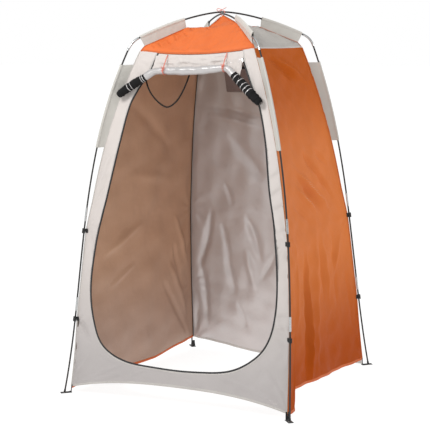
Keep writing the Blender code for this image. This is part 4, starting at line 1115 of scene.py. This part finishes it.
def make_apex_tie():
    """The cord that ties the roof up to the crossed poles, with a bow on top."""
    middle = np.array((0.0, 0.0, CROWN_HEIGHT - CROSSING_DROP / 2))
    turns = np.linspace(math.radians(98), math.radians(442), 50)
    ring = middle + APEX_RING_RADIUS * np.column_stack([np.cos(turns), 0 * turns, np.sin(turns)])
    cord("apex_tie_ring", ring, APEX_CORD_RADIUS, 12, replaces=["apex_tie"])
    top, peak = ring[0] + (0.0015, 0, 0.003), ridge_point("front_left", 0.0)
    tail = top + np.array([(0, 0, 0), (0.006, 0.002, 0.004), (0.013, 0.005, 0.007), (0.020, 0.007, 0.012)])
    anchor = [peak + (0.003, 0, -0.004), peak + (0.0045, 0.001, 0.000), middle + (0.0075, 0, -0.0125)]
    for name, path in (("bow", evenly(smooth_curve(bow_loop(top, 0.034), 6), 60)),
                       ("tail", smooth_curve(tail, 8)), ("anchor", smooth_curve(anchor, 8))):
        cord(f"apex_tie_{name}", path, APEX_CORD_RADIUS * 0.9, 12)


def finish_cad_nodes():
    """Materials and softened edges for the model's own solids that stay in view."""
    finishes = {"foot_strap": "webbing", "pole_clip": "plastic", "zip_slider": "hardware",
                "pull_tab": "hardware", "shock_cord": "elastic"}
    for name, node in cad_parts.items():
        kind = next((k for k in finishes if name.startswith(k)), None)
        if kind is None:
            continue
        node.data.materials.clear()
        node.data.materials.append(MATERIALS[finishes[kind]])
        if kind in ("pole_clip", "zip_slider", "pull_tab"):
            bevel = node.modifiers.new("soft_edges", "BEVEL")
            bevel.width, bevel.segments, bevel.limit_method = 0.0004, 2, "ANGLE"


# --- Stage ---

def make_stage():
    """A pale floor with a faint glow of its own, so that it stays pale under the tent."""
    mesh = bpy.data.meshes.new("floor")
    corners = [(x * FLOOR_REACH, y * FLOOR_REACH, 0) for x, y in ((-1, -1), (1, -1), (1, 1), (-1, 1))]
    mesh.from_pydata(corners, [], [(0, 1, 2, 3)])
    tone = (FLOOR_TONE, FLOOR_TONE, FLOOR_TONE, 1.0)
    nodes = Nodes("pale_floor", tone, 0.9, emission_color=(1.0, 1.0, 1.0, 1.0), emission_strength=FLOOR_GLOW)
    mesh.materials.append(nodes.material)
    link("floor", mesh)


def make_lights():
    world = bpy.data.worlds.new("studio")
    world.use_nodes = True
    tree = world.node_tree
    direction, split = tree.nodes.new("ShaderNodeTexCoord"), tree.nodes.new("ShaderNodeSeparateXYZ")
    dome = tree.nodes.new("ShaderNodeValToRGB")
    stops = dome.color_ramp.elements
    stops[0].position, stops[1].position = SKY[0][0], SKY[-1][0]
    for height, _ in SKY[1:-1]:
        stops.new(height)
    for stop, (_, grey) in zip(stops, SKY):
        stop.color = (grey, grey, grey, 1.0)
    tree.links.new(direction.outputs["Generated"], split.inputs[0])
    tree.links.new(split.outputs[2], dome.inputs[0])
    tree.links.new(dome.outputs[0], tree.nodes["Background"].inputs["Color"])
    bpy.context.scene.world = world
    for name, place, target, size, power in LIGHTS:
        light = bpy.data.lights.new(name, "AREA")
        light.shape, light.size, light.energy = "DISK", size, power
        lamp = link(name, light)
        lamp.location = place
        lamp.rotation_euler = (Vector(place) - Vector(target)).to_track_quat("Z", "Y").to_euler()
    bpy.context.scene.view_settings.view_transform = "Standard"


def make_camera():
    """The camera stands to the right of the doorway, a little above the roof, and looks slightly down."""
    yaw, pitch, roll = map(math.radians, CAMERA_TURNS)
    forward = Vector((-math.sin(yaw) * math.cos(pitch), math.cos(yaw) * math.cos(pitch), -math.sin(pitch)))
    level = Vector((math.cos(yaw), math.sin(yaw), 0.0))
    upright = level.cross(forward)
    right = math.cos(roll) * level + math.sin(roll) * upright
    up = -math.sin(roll) * level + math.cos(roll) * upright
    data = bpy.data.cameras.new("camera")
    data.sensor_width, data.lens = CAMERA_SENSOR, CAMERA_LENS
    camera = link("camera", data)
    turned = Matrix((right, up, -forward)).transposed().to_4x4()
    camera.matrix_world = Matrix.Translation(CAMERA_PLACE) @ turned
    bpy.context.scene.camera = camera


def main():
    make_camera()
    make_hanging_cord()
    for corner in CORNERS:
        make_leg(corner)
        make_sleeves(corner)
        make_corner_seam(corner)
        make_ridge_tape(corner)
        make_foot(corner)
        for level, height in CLIP_HEIGHTS.items():
            make_clip_tab(corner, level, height)
    for name in ROOF_POLES:
        make_roof_pole(name)
    make_front_wall()
    for wall in ("right", "back", "left"):
        make_wall(wall)
    for wall in WALLS:
        make_roof_panel(wall)
    make_zip()
    make_door()
    for side in TIE_PLACES:
        make_tie(side)
    make_pocket()
    make_apex_tie()
    finish_cad_nodes()
    make_stage()
    make_lights()


main()
